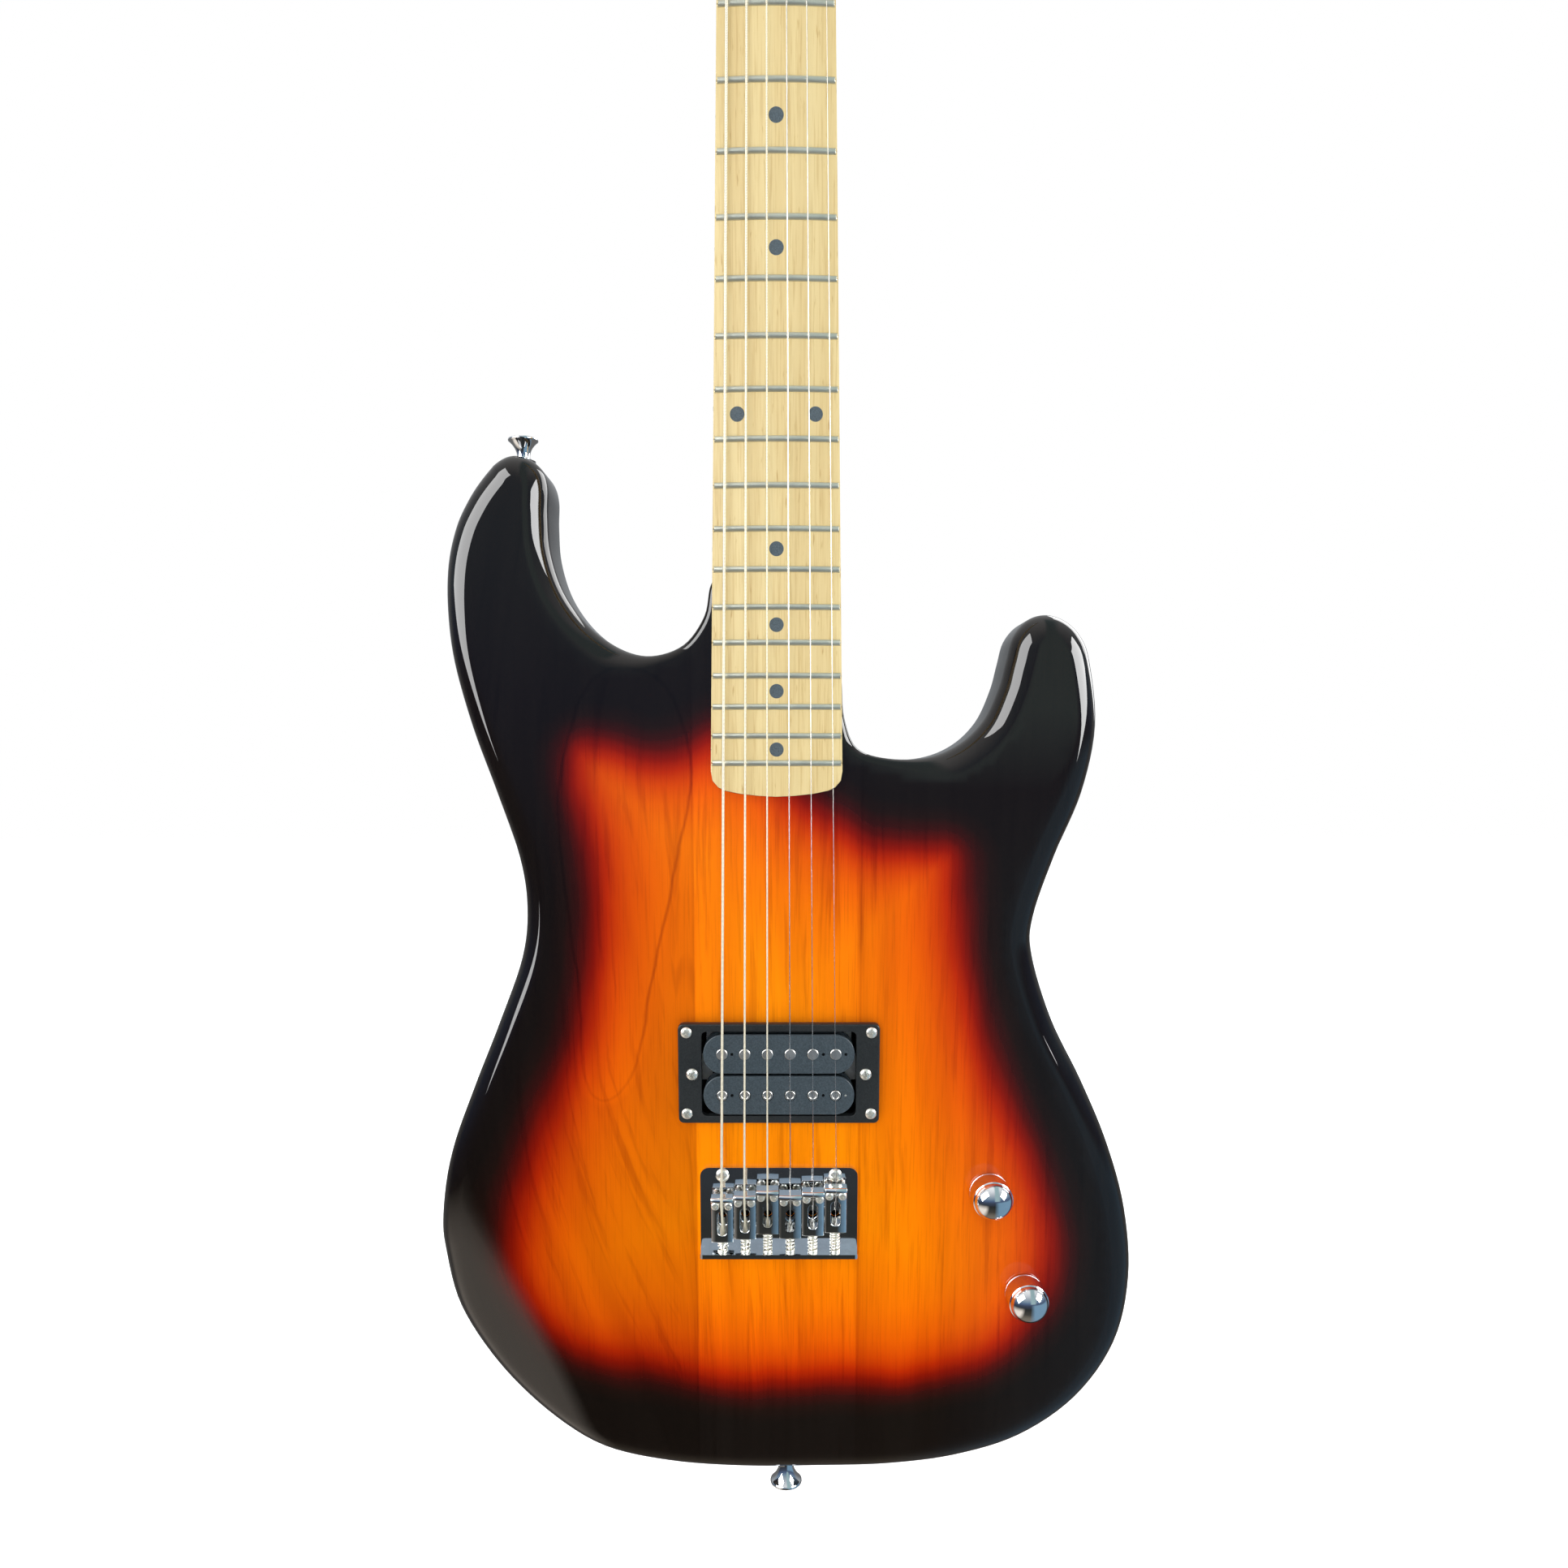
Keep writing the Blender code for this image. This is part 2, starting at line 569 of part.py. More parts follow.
def make_tuner(i, chrome, steel):
    worm_y, worm_z = 27.2, 7.4
    housing = part(f"tuner_housing_{i + 1}", in_tuner_frame(i, box(
        (-7.5, HEAD_BACK + GAP, -7), (9, HEAD_BACK + 11.3, 11))), chrome, origin=post_place(i))
    cut(housing,
        in_tuner_frame(i, box((-6.2, HEAD_BACK - 2, -5.8), (7.7, HEAD_BACK + 10, 9.8))),
        in_tuner_frame(i, rod(1.9, (5, worm_y, worm_z), (12, worm_y, worm_z), 10)))
    post = ((0, -2.9), (2.6, -2.9), (3.0, -2.4), (3.0, -0.2), (POST_WAIST, 0.6),
            (POST_WAIST, 4.6), (3.0, 5.4), (3.0, 25), (5.2, 25), (5.2, 29.4), (2.2, 29.4),
            (2.2, 31.2), (0, 31.2))
    part(f"tuner_post_{i + 1}", turned(post, post_place(i), (0, 1, 0), 12), steel,
         origin=post_place(i))
    shaft = ((0, -4.5), (1.9, -4.5), (1.9, 4.5), (1.5, 4.5), (1.5, 11), (2.6, 11.6),
             (2.6, 13.5), (1.7, 14.2), (1.7, 18), (0, 18))
    pivot = tuner_frame(i) @ Vector((0, worm_y, worm_z))
    key = part(f"tuner_key_{i + 1}", in_tuner_frame(i, turned(
        shaft, (0, worm_y, worm_z), (1, 0, 0), 10)), chrome, origin=pivot)
    outline = rounded_rectangle((22.3, worm_z), (14, 18), 6.6, 3)
    join(key, in_tuner_frame(i, prism(outline, "Y", worm_y - 3.4, worm_y + 3.4)))


def make_string_tree(steel):
    tree = part("string_tree", rod(1.4, (13.3, 1.4, 72), (13.3, HEAD_FACE - GAP, 72), 8), steel)
    join(tree, box((8.2, 1.0, 70.4), (18.4, 2.2, 73.6)))


# ---------------------------------------------------------------- strings
def string_route(i):
    """From behind the bridge's lip, over the saddle and the nut, to the winding on the post."""
    radius = string_radius(i)
    crest, nut = bridge_point(i), nut_point(i)
    bend = crest + Vector((0, 0, -SADDLE_TRAVEL - 0.2))
    route = [Vector((crest.x, ANCHOR_Y, PLATE_REAR_Z - 0.6)),
             Vector((crest.x, ANCHOR_Y, crest.z - 20)),
             Vector((crest.x, 4.4, crest.z - 16.5)),
             bend + Vector((0, 0.5, -0.8)), bend + Vector((0, 0, 0.6)),
             crest.lerp(nut, 0.5), nut + Vector((0, 0, -0.6)), nut + Vector((0, 0.05, 0.8))]
    post = post_place(i)
    around = POST_WAIST + GAP + radius
    pitch = 2 * radius + GAP
    first_y = 2.6 - pitch * WRAP_TURNS / 2
    if i >= 4:
        route.append(Vector((nut.x + (13.3 - nut.x) * 0.08, 2.2 + GAP + radius, 72)))
    steps = int(WRAP_TURNS * 10)
    for k in range(steps + 1):
        angle = 2 * math.pi * k / 10
        route.append(post + Vector((around * math.cos(angle), first_y + pitch * k / 10,
                                    around * math.sin(angle))))
    return route


def make_string(i, finish):
    curve = bpy.data.curves.new(f"string_{i + 1}", "CURVE")
    curve.dimensions = "3D"
    curve.bevel_depth = string_radius(i) * MM
    curve.bevel_resolution = 2
    curve.use_fill_caps = True
    route = string_route(i)
    spline = curve.splines.new("POLY")
    spline.points.add(len(route) - 1)
    for point, place in zip(spline.points, route):
        point.co = (*(place * MM), 1)
    curve.materials.append(finish)
    obj = bpy.data.objects.new(f"string_{i + 1}", curve)
    bpy.context.collection.objects.link(obj)


# ---------------------------------------------------------------- the guitar
def clear_scene():
    for obj in list(bpy.data.objects):
        bpy.data.objects.remove(obj)


def main():
    clear_scene()
    lacquer = material("body_lacquer", (0.75, 0.2, 0.01), 0.15, 0)
    maple = material("maple", (0.75, 0.56, 0.32), 0.35, 0)
    bone = material("nut_white", (0.85, 0.83, 0.75), 0.4, 0)
    black = material("black_plastic", (0.015, 0.015, 0.015), 0.45, 0)
    chrome = material("chrome", (0.8, 0.8, 0.8), 0.06, 1)
    nickel = material("nickel", (0.7, 0.68, 0.62), 0.25, 1)
    steel = material("steel", (0.6, 0.6, 0.6), 0.3, 1)
    make_body(lacquer)
    make_neck(maple)
    make_fingerboard(maple)
    make_nut(bone)
    make_neck_joint(chrome)
    make_truss_rod(steel)
    make_controls(chrome, steel, black)
    make_jack(chrome, steel)
    make_strap_buttons(chrome)
    make_pickup(black, steel, nickel)
    make_bridge_plate(chrome)
    make_string_tree(chrome)
    for i in range(STRING_COUNT):
        make_saddle(i, chrome)
        make_tuner(i, chrome, steel)
        make_string(i, steel)


main()
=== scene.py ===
"""Looks of the solid-body electric guitar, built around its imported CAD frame.

Shapes are worked out in millimetres in the frame's own axes: +Z up the neck, +X to the treble
side, the front faces -Y, and the origin is on the nut's front edge. MM turns them into metres.
"""
import math

import bmesh
import bpy
import numpy as np
from mathutils import Matrix, Vector
from mathutils.geometry import delaunay_2d_cdt


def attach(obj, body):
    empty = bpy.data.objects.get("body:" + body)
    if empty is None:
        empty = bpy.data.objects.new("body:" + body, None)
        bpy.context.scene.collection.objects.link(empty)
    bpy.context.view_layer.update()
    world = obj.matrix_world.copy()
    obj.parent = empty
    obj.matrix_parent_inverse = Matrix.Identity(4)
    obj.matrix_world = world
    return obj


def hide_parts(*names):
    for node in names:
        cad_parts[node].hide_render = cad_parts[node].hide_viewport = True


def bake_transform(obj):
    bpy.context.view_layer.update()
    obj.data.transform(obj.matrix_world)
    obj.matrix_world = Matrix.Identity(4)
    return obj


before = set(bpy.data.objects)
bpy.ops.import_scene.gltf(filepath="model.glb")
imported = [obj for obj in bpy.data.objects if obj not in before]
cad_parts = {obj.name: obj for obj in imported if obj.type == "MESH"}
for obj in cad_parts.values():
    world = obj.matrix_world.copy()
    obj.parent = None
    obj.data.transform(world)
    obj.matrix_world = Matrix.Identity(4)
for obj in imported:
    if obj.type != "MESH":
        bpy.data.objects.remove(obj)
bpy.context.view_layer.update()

MM = 0.001

# ---------------------------------------------------------------- dimensions shared with the CAD
SCALE_LENGTH = 648.0
LAST_FRET = 21
HARDWARE_X = 0.9
BODY_FRONT, BODY_BACK = 9.5, 52.5
BODY_MIDDLE = (BODY_FRONT + BODY_BACK) / 2
EDGE_RADIUS = 11.0
HEEL_EDGE_RADIUS = 2.5
NUT_WIDTH, HEEL_WIDTH = 41.4, 56.2
BOARD_THICK = 4.8
BOARD_RADIUS = 240.0
NECK_END = -469.5
HEEL_DEPTH = 25.4
HEAD_FACE, HEAD_BACK = 8.0, 22.0
STRING_COUNT = 6
WOUND_COUNT = 3
STRING_DIAMETERS = (1.17, 0.91, 0.66, 0.43, 0.33, 0.25)
NUT_SPAN, BRIDGE_SPAN = 34.6, 51.2
NUT_STRING_Y, BRIDGE_STRING_Y = -1.5, -5.0
CREST_Z = (-649.3, -647.8, -645.3, -647.4, -646.1, -644.6)
FIRST_POST = (-20.3, 32.0)
POST_STEP = (6.53, 25.17)
POST_WAIST = 2.5
WRAP_TURNS = 1.75
PICKUP_Z = -592.8
RING_SIZE = (90.0, 45.5)
RING_TOP = 5.2
BOBBIN_SIZE = (67.4, 17.8)
BOBBIN_TOP = 3.6
BOBBIN_STEP = 18.8
POLE_PITCH = 10.12
HEIGHT_SCREW_X = 38.7
PLATE_TOP = 7.2
PLATE_FRONT_Z, PLATE_REAR_Z = -637.1, -676.7
PLATE_HALF = 35.8
LIP_TOP, LIP_THICK = -2.0, 2.0
ANCHOR_Y = 5.4
KNOBS = {"volume": (96.8, -649.2), "tone": (114.3, -697.8)}
TOP_WOOD = 17.5
JACK_Z = -696.0
JACK_SEAT_X = 162.6
JACK_BORE = 5.1                 # radius
STRING_HOLE_Z = -659.0          # the string holes through the bridge plate and into the body
TREE_X, TREE_Z = 13.3, 72.0     # the string tree
SPRING_WIRE = 0.3               # radius
SADDLE_LEVEL = 0.6              # y of the saddle plate's upper side
SADDLE_SHEET = 1.1              # thickness
SADDLE_HALF = 4.9               # half its width
SADDLE_POST = (2.95, -2.35)     # a height screw's x and z from the crest
INTONATION_Y = 2.4
COIL_PIN_X = 30.7               # the pin, and the small hole in the other coil
TUNER_MIDDLE = 0.75             # of the case and its foot, in the tuner's own x
TO_BACK, TO_FRONT, TO_TREBLE = (0, 1, 0), (0, -1, 0), (1, 0, 0)

BODY_OUTLINE = (
    (-28, -380), (-31, -393), (-40, -405), (-54, -409.5), (-68, -406), (-82, -396),
    (-92, -382), (-97, -366), (-97.8, -351), (-97.5, -339.5), (-99.7, -332), (-105.4, -327.2),
    (-112.5, -326), (-119.4, -329.2), (-126, -336), (-132, -344.5), (-137.5, -355.5),
    (-141.5, -371), (-142.5, -390), (-140.5, -412), (-133.5, -440), (-124, -468),
    (-115, -496.5), (-112.3, -519), (-115.2, -542), (-126.5, -572), (-139, -602),
    (-150.5, -632.5), (-157.5, -664.5), (-158, -684), (-153, -713.5), (-136, -742),
    (-112, -764.5), (-83, -780), (-51, -787.5), (-16, -790.2), (20, -790), (52.5, -789),
    (85, -784.5), (116, -774), (142.5, -754), (160, -726), (165.5, -693.5), (162, -660),
    (152.5, -628.5), (139.5, -599), (125, -570.5), (115.3, -541), (115.3, -523.5), (124, -496),
    (135, -468), (140, -439), (136.3, -411), (131.5, -400), (124.2, -393.7), (115.8, -391.6),
    (108.3, -394.2), (102.8, -401), (100.2, -411), (97.3, -422.5), (91, -436.5), (80.3, -447),
    (66, -452.8), (48.5, -453.3), (35, -448.8), (29.3, -436), (28, -420), (26.5, -405),
    (21, -396.5), (8, -388), (-10, -380), (-22, -375.5),
)
HEEL_CORNER = ((28.1, -458.6), (27.4, -462.7), (25.0, -465.5), (22.2, -466.9),
               (16.0, -468.2), (8.0, -469.1))
HEAD_OUTLINE = (
    (20.3, 4), (20.9, 10), (22.5, 20), (25.5, 38), (28, 70), (31, 110), (35, 150), (37, 168),
    (32, 181), (21, 186), (10, 181), (3.7, 170.4), (-8, 124), (-21, 74), (-34, 24),
    (-31.5, 15.5), (-24.5, 11), (-21.3, 8), (-20.3, 4),
)
CONTROL_CAVITY = (
    (80, -640), (91, -627), (110, -630), (126, -652), (137, -684), (140, -706),
    (130, -717), (110, -718), (92, -694), (82, -664),
)
# Where the sunburst's amber field turns dark, as a smooth loop of x and z.
BURST_EDGE = (
    (-20, -440), (-40, -450), (-56, -452.5), (-72, -449), (-86, -449), (-88, -462), (-83, -480),
    (-79, -500), (-79, -520), (-83, -548), (-90, -578), (-101, -604), (-113, -631),
    (-123, -660), (-125, -682), (-118, -702), (-104, -719), (-82, -731), (-50, -738),
    (-10, -743), (35, -743.5), (75, -740), (100, -730), (119, -710), (125.5, -686),
    (123, -660), (113, -628), (99, -596), (88, -565), (81, -536), (80, -512), (78, -494),
    (64, -491), (42, -489.5), (26, -482), (14, -474), (0, -455),
)
# A growth ring that shows as a long tongue on the bass side of the front.
GRAIN_LOOP = (
    (-37, -455), (-42.4, -490), (-50, -526), (-57, -556), (-59.6, -575), (-66.5, -596),
    (-76.3, -606), (-84, -602.5), (-88, -588), (-88, -560), (-92, -520), (-95, -470), (-80, -420),
    (-50, -420),
)
# Where the body's three boards are glued: x in metres, as the material sees it.
GLUE_LINES = (-0.037, 0.0373)


# ---------------------------------------------------------------- outlines
def smooth_loop(points, per_span, closed=True):
    """Points on a Catmull-Rom curve through the given ones, closed or open."""
    count = len(points)
    result = []
    for i in range(count if closed else count - 1):
        if closed:
            around = [(i + k) % count for k in (-1, 0, 1, 2)]
        else:
            around = [min(max(i + k, 0), count - 1) for k in (-1, 0, 1, 2)]
        a, b, c, d = (Vector(points[k]) for k in around)
        for k in range(per_span):
            t = k / per_span
            result.append(0.5 * (2 * b + (c - a) * t + (2 * a - 5 * b + 4 * c - d) * t ** 2
                                 + (3 * b - a - 3 * c + d) * t ** 3))
    return result if closed else result + [Vector(points[-1])]


def loop_normals(loop):
    """Unit vectors pointing out of a closed loop."""
    count = len(loop)
    area = sum(loop[i].x * loop[(i + 1) % count].y - loop[(i + 1) % count].x * loop[i].y
               for i in range(count))
    side = 1 if area > 0 else -1
    normals = []
    for i in range(count):
        along = loop[(i + 1) % count] - loop[i - 1]
        normals.append(side * Vector((along.y, -along.x)).normalized())
    return normals


def grown(loop, amount):
    return [p + n * amount for p, n in zip(loop, loop_normals(loop))]


def rounded_rectangle(centre, size, radius, steps=6):
    points = []
    for k, (sx, sy) in enumerate(((1, 1), (-1, 1), (-1, -1), (1, -1))):
        cx = centre[0] + sx * (size[0] / 2 - radius)
        cy = centre[1] + sy * (size[1] / 2 - radius)
        for s in range(steps + 1):
            angle = math.pi / 2 * (k + s / steps)
            points.append(Vector((cx + radius * math.cos(angle), cy + radius * math.sin(angle))))
    return points


def circle(segments):
    """Cosine and sine at even steps round a full turn."""
    angles = [2 * math.pi * k / segments for k in range(segments)]
    return [(math.cos(angle), math.sin(angle)) for angle in angles]


def quarter(steps):
    """Cosine and sine at even steps through a quarter turn, with both ends."""
    angles = [math.pi / 2 * k / steps for k in range(steps + 1)]
    return [(math.cos(angle), math.sin(angle)) for angle in angles]


# ---------------------------------------------------------------- solids, as bmeshes in mm
def skin(bm, rings):
    """Joins each ring of vertices to the next."""
    for low, high in zip(rings, rings[1:]):
        for i in range(len(low)):
            j = (i + 1) % len(low)
            bm.faces.new((low[i], low[j], high[j], high[i]))


def sealed(bm, *caps):
    """Adds the caps, and turns every face outward."""
    for cap in caps:
        bm.faces.new(cap)
    bmesh.ops.recalc_face_normals(bm, faces=bm.faces)
    return bm


def loft(rings, closed_ends=True):
    bm = bmesh.new()
    made = [[bm.verts.new(p) for p in ring] for ring in rings]
    skin(bm, made)
    return sealed(bm, made[0], made[-1]) if closed_ends else sealed(bm)


def placed(point, axis, level):
    values = list(point)
    values.insert("XYZ".index(axis), level)
    return Vector(values)


def prism(outline, axis, low, high):
    """An outline pulled along an axis. The outline's two numbers are the other two axes."""
    return loft([[placed(p, axis, level) for p in outline] for level in (low, high)])


def slab(outline, axis, low, high, radius, steps=3, far_radius=None):
    """A prism whose two rims are rounded over."""
    rings = []
    middle = (low + high) / 2
    for level, sign, r in ((low, 1, radius), (high, -1, far_radius or radius)):
        half = []
        r = min(r, abs(high - low) / 2)
        for c, s in quarter(steps):
            half.append([placed(p, axis, level + sign * r * (1 - c))
                         for p in grown(outline, -r * (1 - s))])
        rings += half if level < middle else half[::-1]
    return loft(rings)


def box(low, high):
    corners = ((low[0], low[2]), (high[0], low[2]), (high[0], high[2]), (low[0], high[2]))
    return prism(corners, "Y", low[1], high[1])


def turned(profile, start, direction, segments=32):
    """A profile of (radius, distance) turned about the line from start along direction."""
    turn = Vector(direction).to_track_quat("Z", "Y").to_matrix().to_4x4()
    matrix = Matrix.Translation(start) @ turn
    bm = bmesh.new()
    rings = []
    for radius, along in profile:
        spots = 1 if radius == 0 else segments
        rings.append([bm.verts.new(matrix @ Vector((radius * c, radius * s, along)))
                      for c, s in circle(segments)[:spots]])
    pairs = list(zip(rings, rings[1:]))
    if profile[0][0] or profile[-1][0]:
        pairs.append((rings[-1], rings[0]))
    for low, high in pairs:
        for k in range(segments):
            corners = [low[k % len(low)], low[(k + 1) % len(low)],
                       high[(k + 1) % len(high)], high[k % len(high)]]
            bm.faces.new(list(dict.fromkeys(corners)))
    return sealed(bm)


def rod(radius, start, end, segments=24):
    span = Vector(end) - Vector(start)
    return turned(((0, 0), (radius, 0), (radius, span.length), (0, span.length)),
                  start, span, segments)


def bore(radius, x, z, low, high, segments=24):
    """A rod from front to back."""
    return rod(radius, (x, low, z), (x, high, z), segments)


def tube(path, radii, sides=12):
    """A tube along a path, its radius given at each point. Each vertex keeps its distance along."""
    points = [Vector(p) for p in path]
    bm = bmesh.new()
    along = bm.verts.layers.float.new("along")
    tangents = []
    for i in range(len(points)):
        ahead = points[min(i + 1, len(points) - 1)] - points[max(i - 1, 0)]
        tangents.append(ahead.normalized())
    side = tangents[0].orthogonal().normalized()
    rings = []
    length = 0.0
    for i, (point, tangent) in enumerate(zip(points, tangents)):
        side = (side - tangent * side.dot(tangent)).normalized()
        up = tangent.cross(side)
        if i:
            length += (point - points[i - 1]).length
        ring = []
        for c, s in circle(sides):
            vertex = bm.verts.new(point + radii[i] * (side * c + up * s))
            vertex[along] = length
            ring.append(vertex)
        rings.append(ring)
    skin(bm, rings)
    return sealed(bm, rings[0], rings[-1])


def helix(start, end, radius, turns):
    """Points of a coil from start to end, closed up by flat end turns."""
    steps = 16                  # for each turn
    axis = Vector(end) - Vector(start)
    turn = axis.to_track_quat("Z", "Y").to_matrix()
    points = []
    for k in range(int(turns * steps) + 1):
        angle = 2 * math.pi * k / steps
        share = min(max((k - steps) / (turns * steps - 2 * steps), 0), 1)
        points.append(Vector(start) + turn @ Vector((
            radius * math.cos(angle), radius * math.sin(angle), axis.length * share)))
    return points


def merged(*parts):
    """Several bmeshes as one, without joining their surfaces."""
    result = bmesh.new()
    for bm in parts:
        mesh = bpy.data.meshes.new("merging")
        bm.to_mesh(mesh)
        bm.free()
        result.from_mesh(mesh)
        bpy.data.meshes.remove(mesh)
    return result


# ---------------------------------------------------------------- pieces
def raw_object(name, bm):
    """A bare object in metres from a shape in millimetres."""
    bmesh.ops.scale(bm, vec=(MM, MM, MM), verts=bm.verts)
    mesh = bpy.data.meshes.new(name)
    bm.to_mesh(mesh)
    bm.free()
    obj = bpy.data.objects.new(name, mesh)
    bpy.context.collection.objects.link(obj)
    return obj


def carve(obj, removed=(), added=(), kept=()):
    """Applies obj's own modifiers, then exact booleans with what is kept, added and removed."""
    tools = []
    for operation, bms in (("INTERSECT", kept), ("UNION", added), ("DIFFERENCE", removed)):
        for bm in bms:
            tool = raw_object("tool", bm)
            tools.append(tool)
            change = obj.modifiers.new(operation, "BOOLEAN")
            change.operation = operation
            change.solver = "EXACT"
            change.object = tool
    bpy.context.view_layer.update()
    evaluated = obj.evaluated_get(bpy.context.evaluated_depsgraph_get())
    result = bpy.data.meshes.new_from_object(evaluated)
    if not result.polygons:
        raise ValueError(f"{obj.name}: the booleans left nothing")
    obj.modifiers.clear()
    old = obj.data
    obj.data = result
    bpy.data.meshes.remove(old)
    for tool in tools:
        mesh = tool.data
        bpy.data.objects.remove(tool)
        bpy.data.meshes.remove(mesh)


def piece(name, bm, look, removed=(), added=(), kept=(), bevel=0.0, smooth=35, body="guitar",
          stands_for=(), weighted=True, bevel_steps=2):
    """A finished piece: shape, material, smooth shading, and the body that it rides on."""
    obj = raw_object(name, bm)
    if removed or added or kept:
        carve(obj, removed, added, kept)
    finish(obj, look, bevel, smooth, weighted, bevel_steps)
    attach(obj, body)
    if stands_for:
        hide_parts(*stands_for)
    return obj


def finish(obj, look, bevel=0.0, smooth=35, weighted=True, bevel_steps=2):
    """Gives an object its material, its shading, and an optional small bevel."""
    made, slot = LOOKS[look]
    obj.data.materials.clear()
    obj.data.materials.append(made)
    obj.data.shade_smooth()
    if bevel:
        rounding = obj.modifiers.new("rounding", "BEVEL")
        rounding.width = bevel * MM
        rounding.segments = bevel_steps
        rounding.limit_method = "ANGLE"
        rounding.angle_limit = math.radians(smooth)
    else:
        obj.data.set_sharp_from_angle(angle=math.radians(smooth))
    if weighted:
        flat = obj.modifiers.new("flat_faces", "WEIGHTED_NORMAL")
        flat.keep_sharp = True


def stretched_piece(name, bm, look, smooth=60):
    """A finished piece with its placement baked into its mesh; it rides on no body."""
    obj = raw_object(name, bm)
    finish(obj, look, smooth=smooth, weighted=False)
    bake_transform(obj)
    return obj


def spring_bmesh(coil):
    return tube(coil, [SPRING_WIRE] * len(coil), 8)


# ---------------------------------------------------------------- materials
WHITE = (1, 1, 1)


class NodeTree:
    """Short ways to add the nodes that the looks below use."""

    def __init__(self, tree):
        self.tree = tree

    def link(self, source, target):
        self.tree.links.new(source, target)

    def node(self, kind, **settings):
        made = self.tree.nodes.new(kind)
        for key, value in settings.items():
            setattr(made, key, value)
        return made

    def place(self, stretch=(1, 1, 1)):
        """Object coordinates in metres, scaled."""
        coordinates = self.node("ShaderNodeTexCoord")
        mapping = self.node("ShaderNodeMapping")
        mapping.inputs["Scale"].default_value = stretch
        self.link(coordinates.outputs["Object"], mapping.inputs["Vector"])
        return mapping.outputs["Vector"]

    def noise(self, scale, detail=3, rough=0.55, stretch=(1, 1, 1), vector=None):
        made = self.node("ShaderNodeTexNoise")
        made.inputs["Scale"].default_value = scale
        made.inputs["Detail"].default_value = detail
        made.inputs["Roughness"].default_value = rough
        self.link(vector or self.place(stretch), made.inputs["Vector"])
        return made.outputs["Fac"]

    def attribute(self, name):
        return self.node("ShaderNodeAttribute", attribute_name=name).outputs["Fac"]

    def math(self, operation, *values):
        made = self.node("ShaderNodeMath", operation=operation)
        for socket, value in zip(made.inputs, values):
            if isinstance(value, (int, float)):
                socket.default_value = value
            else:
                self.link(value, socket)
        return made.outputs[0]

    def times(self, first, second):
        return self.math("MULTIPLY", first, second)

    def plus(self, first, second):
        return self.math("ADD", first, second)

    def axes(self):
        """The object coordinates one by one."""
        split = self.node("ShaderNodeSeparateXYZ")
        self.link(self.place(), split.inputs[0])
        return [split.outputs[axis] for axis in "XYZ"]

    def remap(self, value, low, high, to_low, to_high):
        made = self.node("ShaderNodeMapRange")
        self.link(value, made.inputs["Value"])
        for key, number in (("From Min", low), ("From Max", high),
                            ("To Min", to_low), ("To Max", to_high)):
            made.inputs[key].default_value = number
        return made.outputs["Result"]

    def ramp(self, value, stops):
        made = self.node("ShaderNodeValToRGB")
        elements = made.color_ramp.elements
        while len(elements) < len(stops):
            elements.new(0.5)
        for element, (position, colour) in zip(elements, stops):
            element.position = position
            element.color = (*colour, 1)
        self.link(value, made.inputs["Fac"])
        return made.outputs["Color"]

    def mix(self, share, first, second, blend="MIX"):
        made = self.node("ShaderNodeMix", data_type="RGBA", blend_type=blend)
        for socket, value in zip((made.inputs[0], made.inputs[6], made.inputs[7]),
                                 (share, first, second)):
            if isinstance(value, (int, float)):
                socket.default_value = value
            elif isinstance(value, tuple):
                socket.default_value = (*value, 1)
            else:
                self.link(value, socket)
        return made.outputs[2]

    def spread(self, noise, low, high):
        """A noise's usual values, 0.3 to 0.7, as low to high."""
        return self.remap(noise, 0.3, 0.7, low, high)

    def layered(self, colour, *layers):
        """A colour multiplied by each layer in turn."""
        for layer in layers:
            colour = self.mix(1.0, colour, layer, "MULTIPLY")
        return colour


class Surface(NodeTree):
    """A material and its node tree."""

    def __init__(self, name, roughness, metallic=0.0, colour=(0.5, 0.5, 0.5), **sockets):
        self.material = bpy.data.materials.new(name)
        self.material.use_nodes = True
        super().__init__(self.material.node_tree)
        self.shader = self.tree.nodes["Principled BSDF"]
        self.shader.inputs["Base Color"].default_value = (*colour, 1)
        self.shader.inputs["Roughness"].default_value = roughness
        self.shader.inputs["Metallic"].default_value = metallic
        for socket, value in sockets.items():
            self.shader.inputs[socket.replace("_", " ")].default_value = value

    def colour(self, value):
        self.link(value, self.shader.inputs["Base Color"])

    def roughness(self, value):
        self.link(value, self.shader.inputs["Roughness"])

    def bump(self, height, strength, distance_mm):
        made = self.node("ShaderNodeBump")
        made.inputs["Strength"].default_value = strength
        made.inputs["Distance"].default_value = distance_mm * MM
        self.link(height, made.inputs["Height"])
        self.link(made.outputs["Normal"], self.shader.inputs["Normal"])


def linear(red, green, blue):
    """Display values from 0 to 255 as linear colour."""
    return tuple(((v / 255 + 0.055) / 1.055) ** 2.4 if v > 10 else v / 255 / 12.92
                 for v in (red, green, blue))


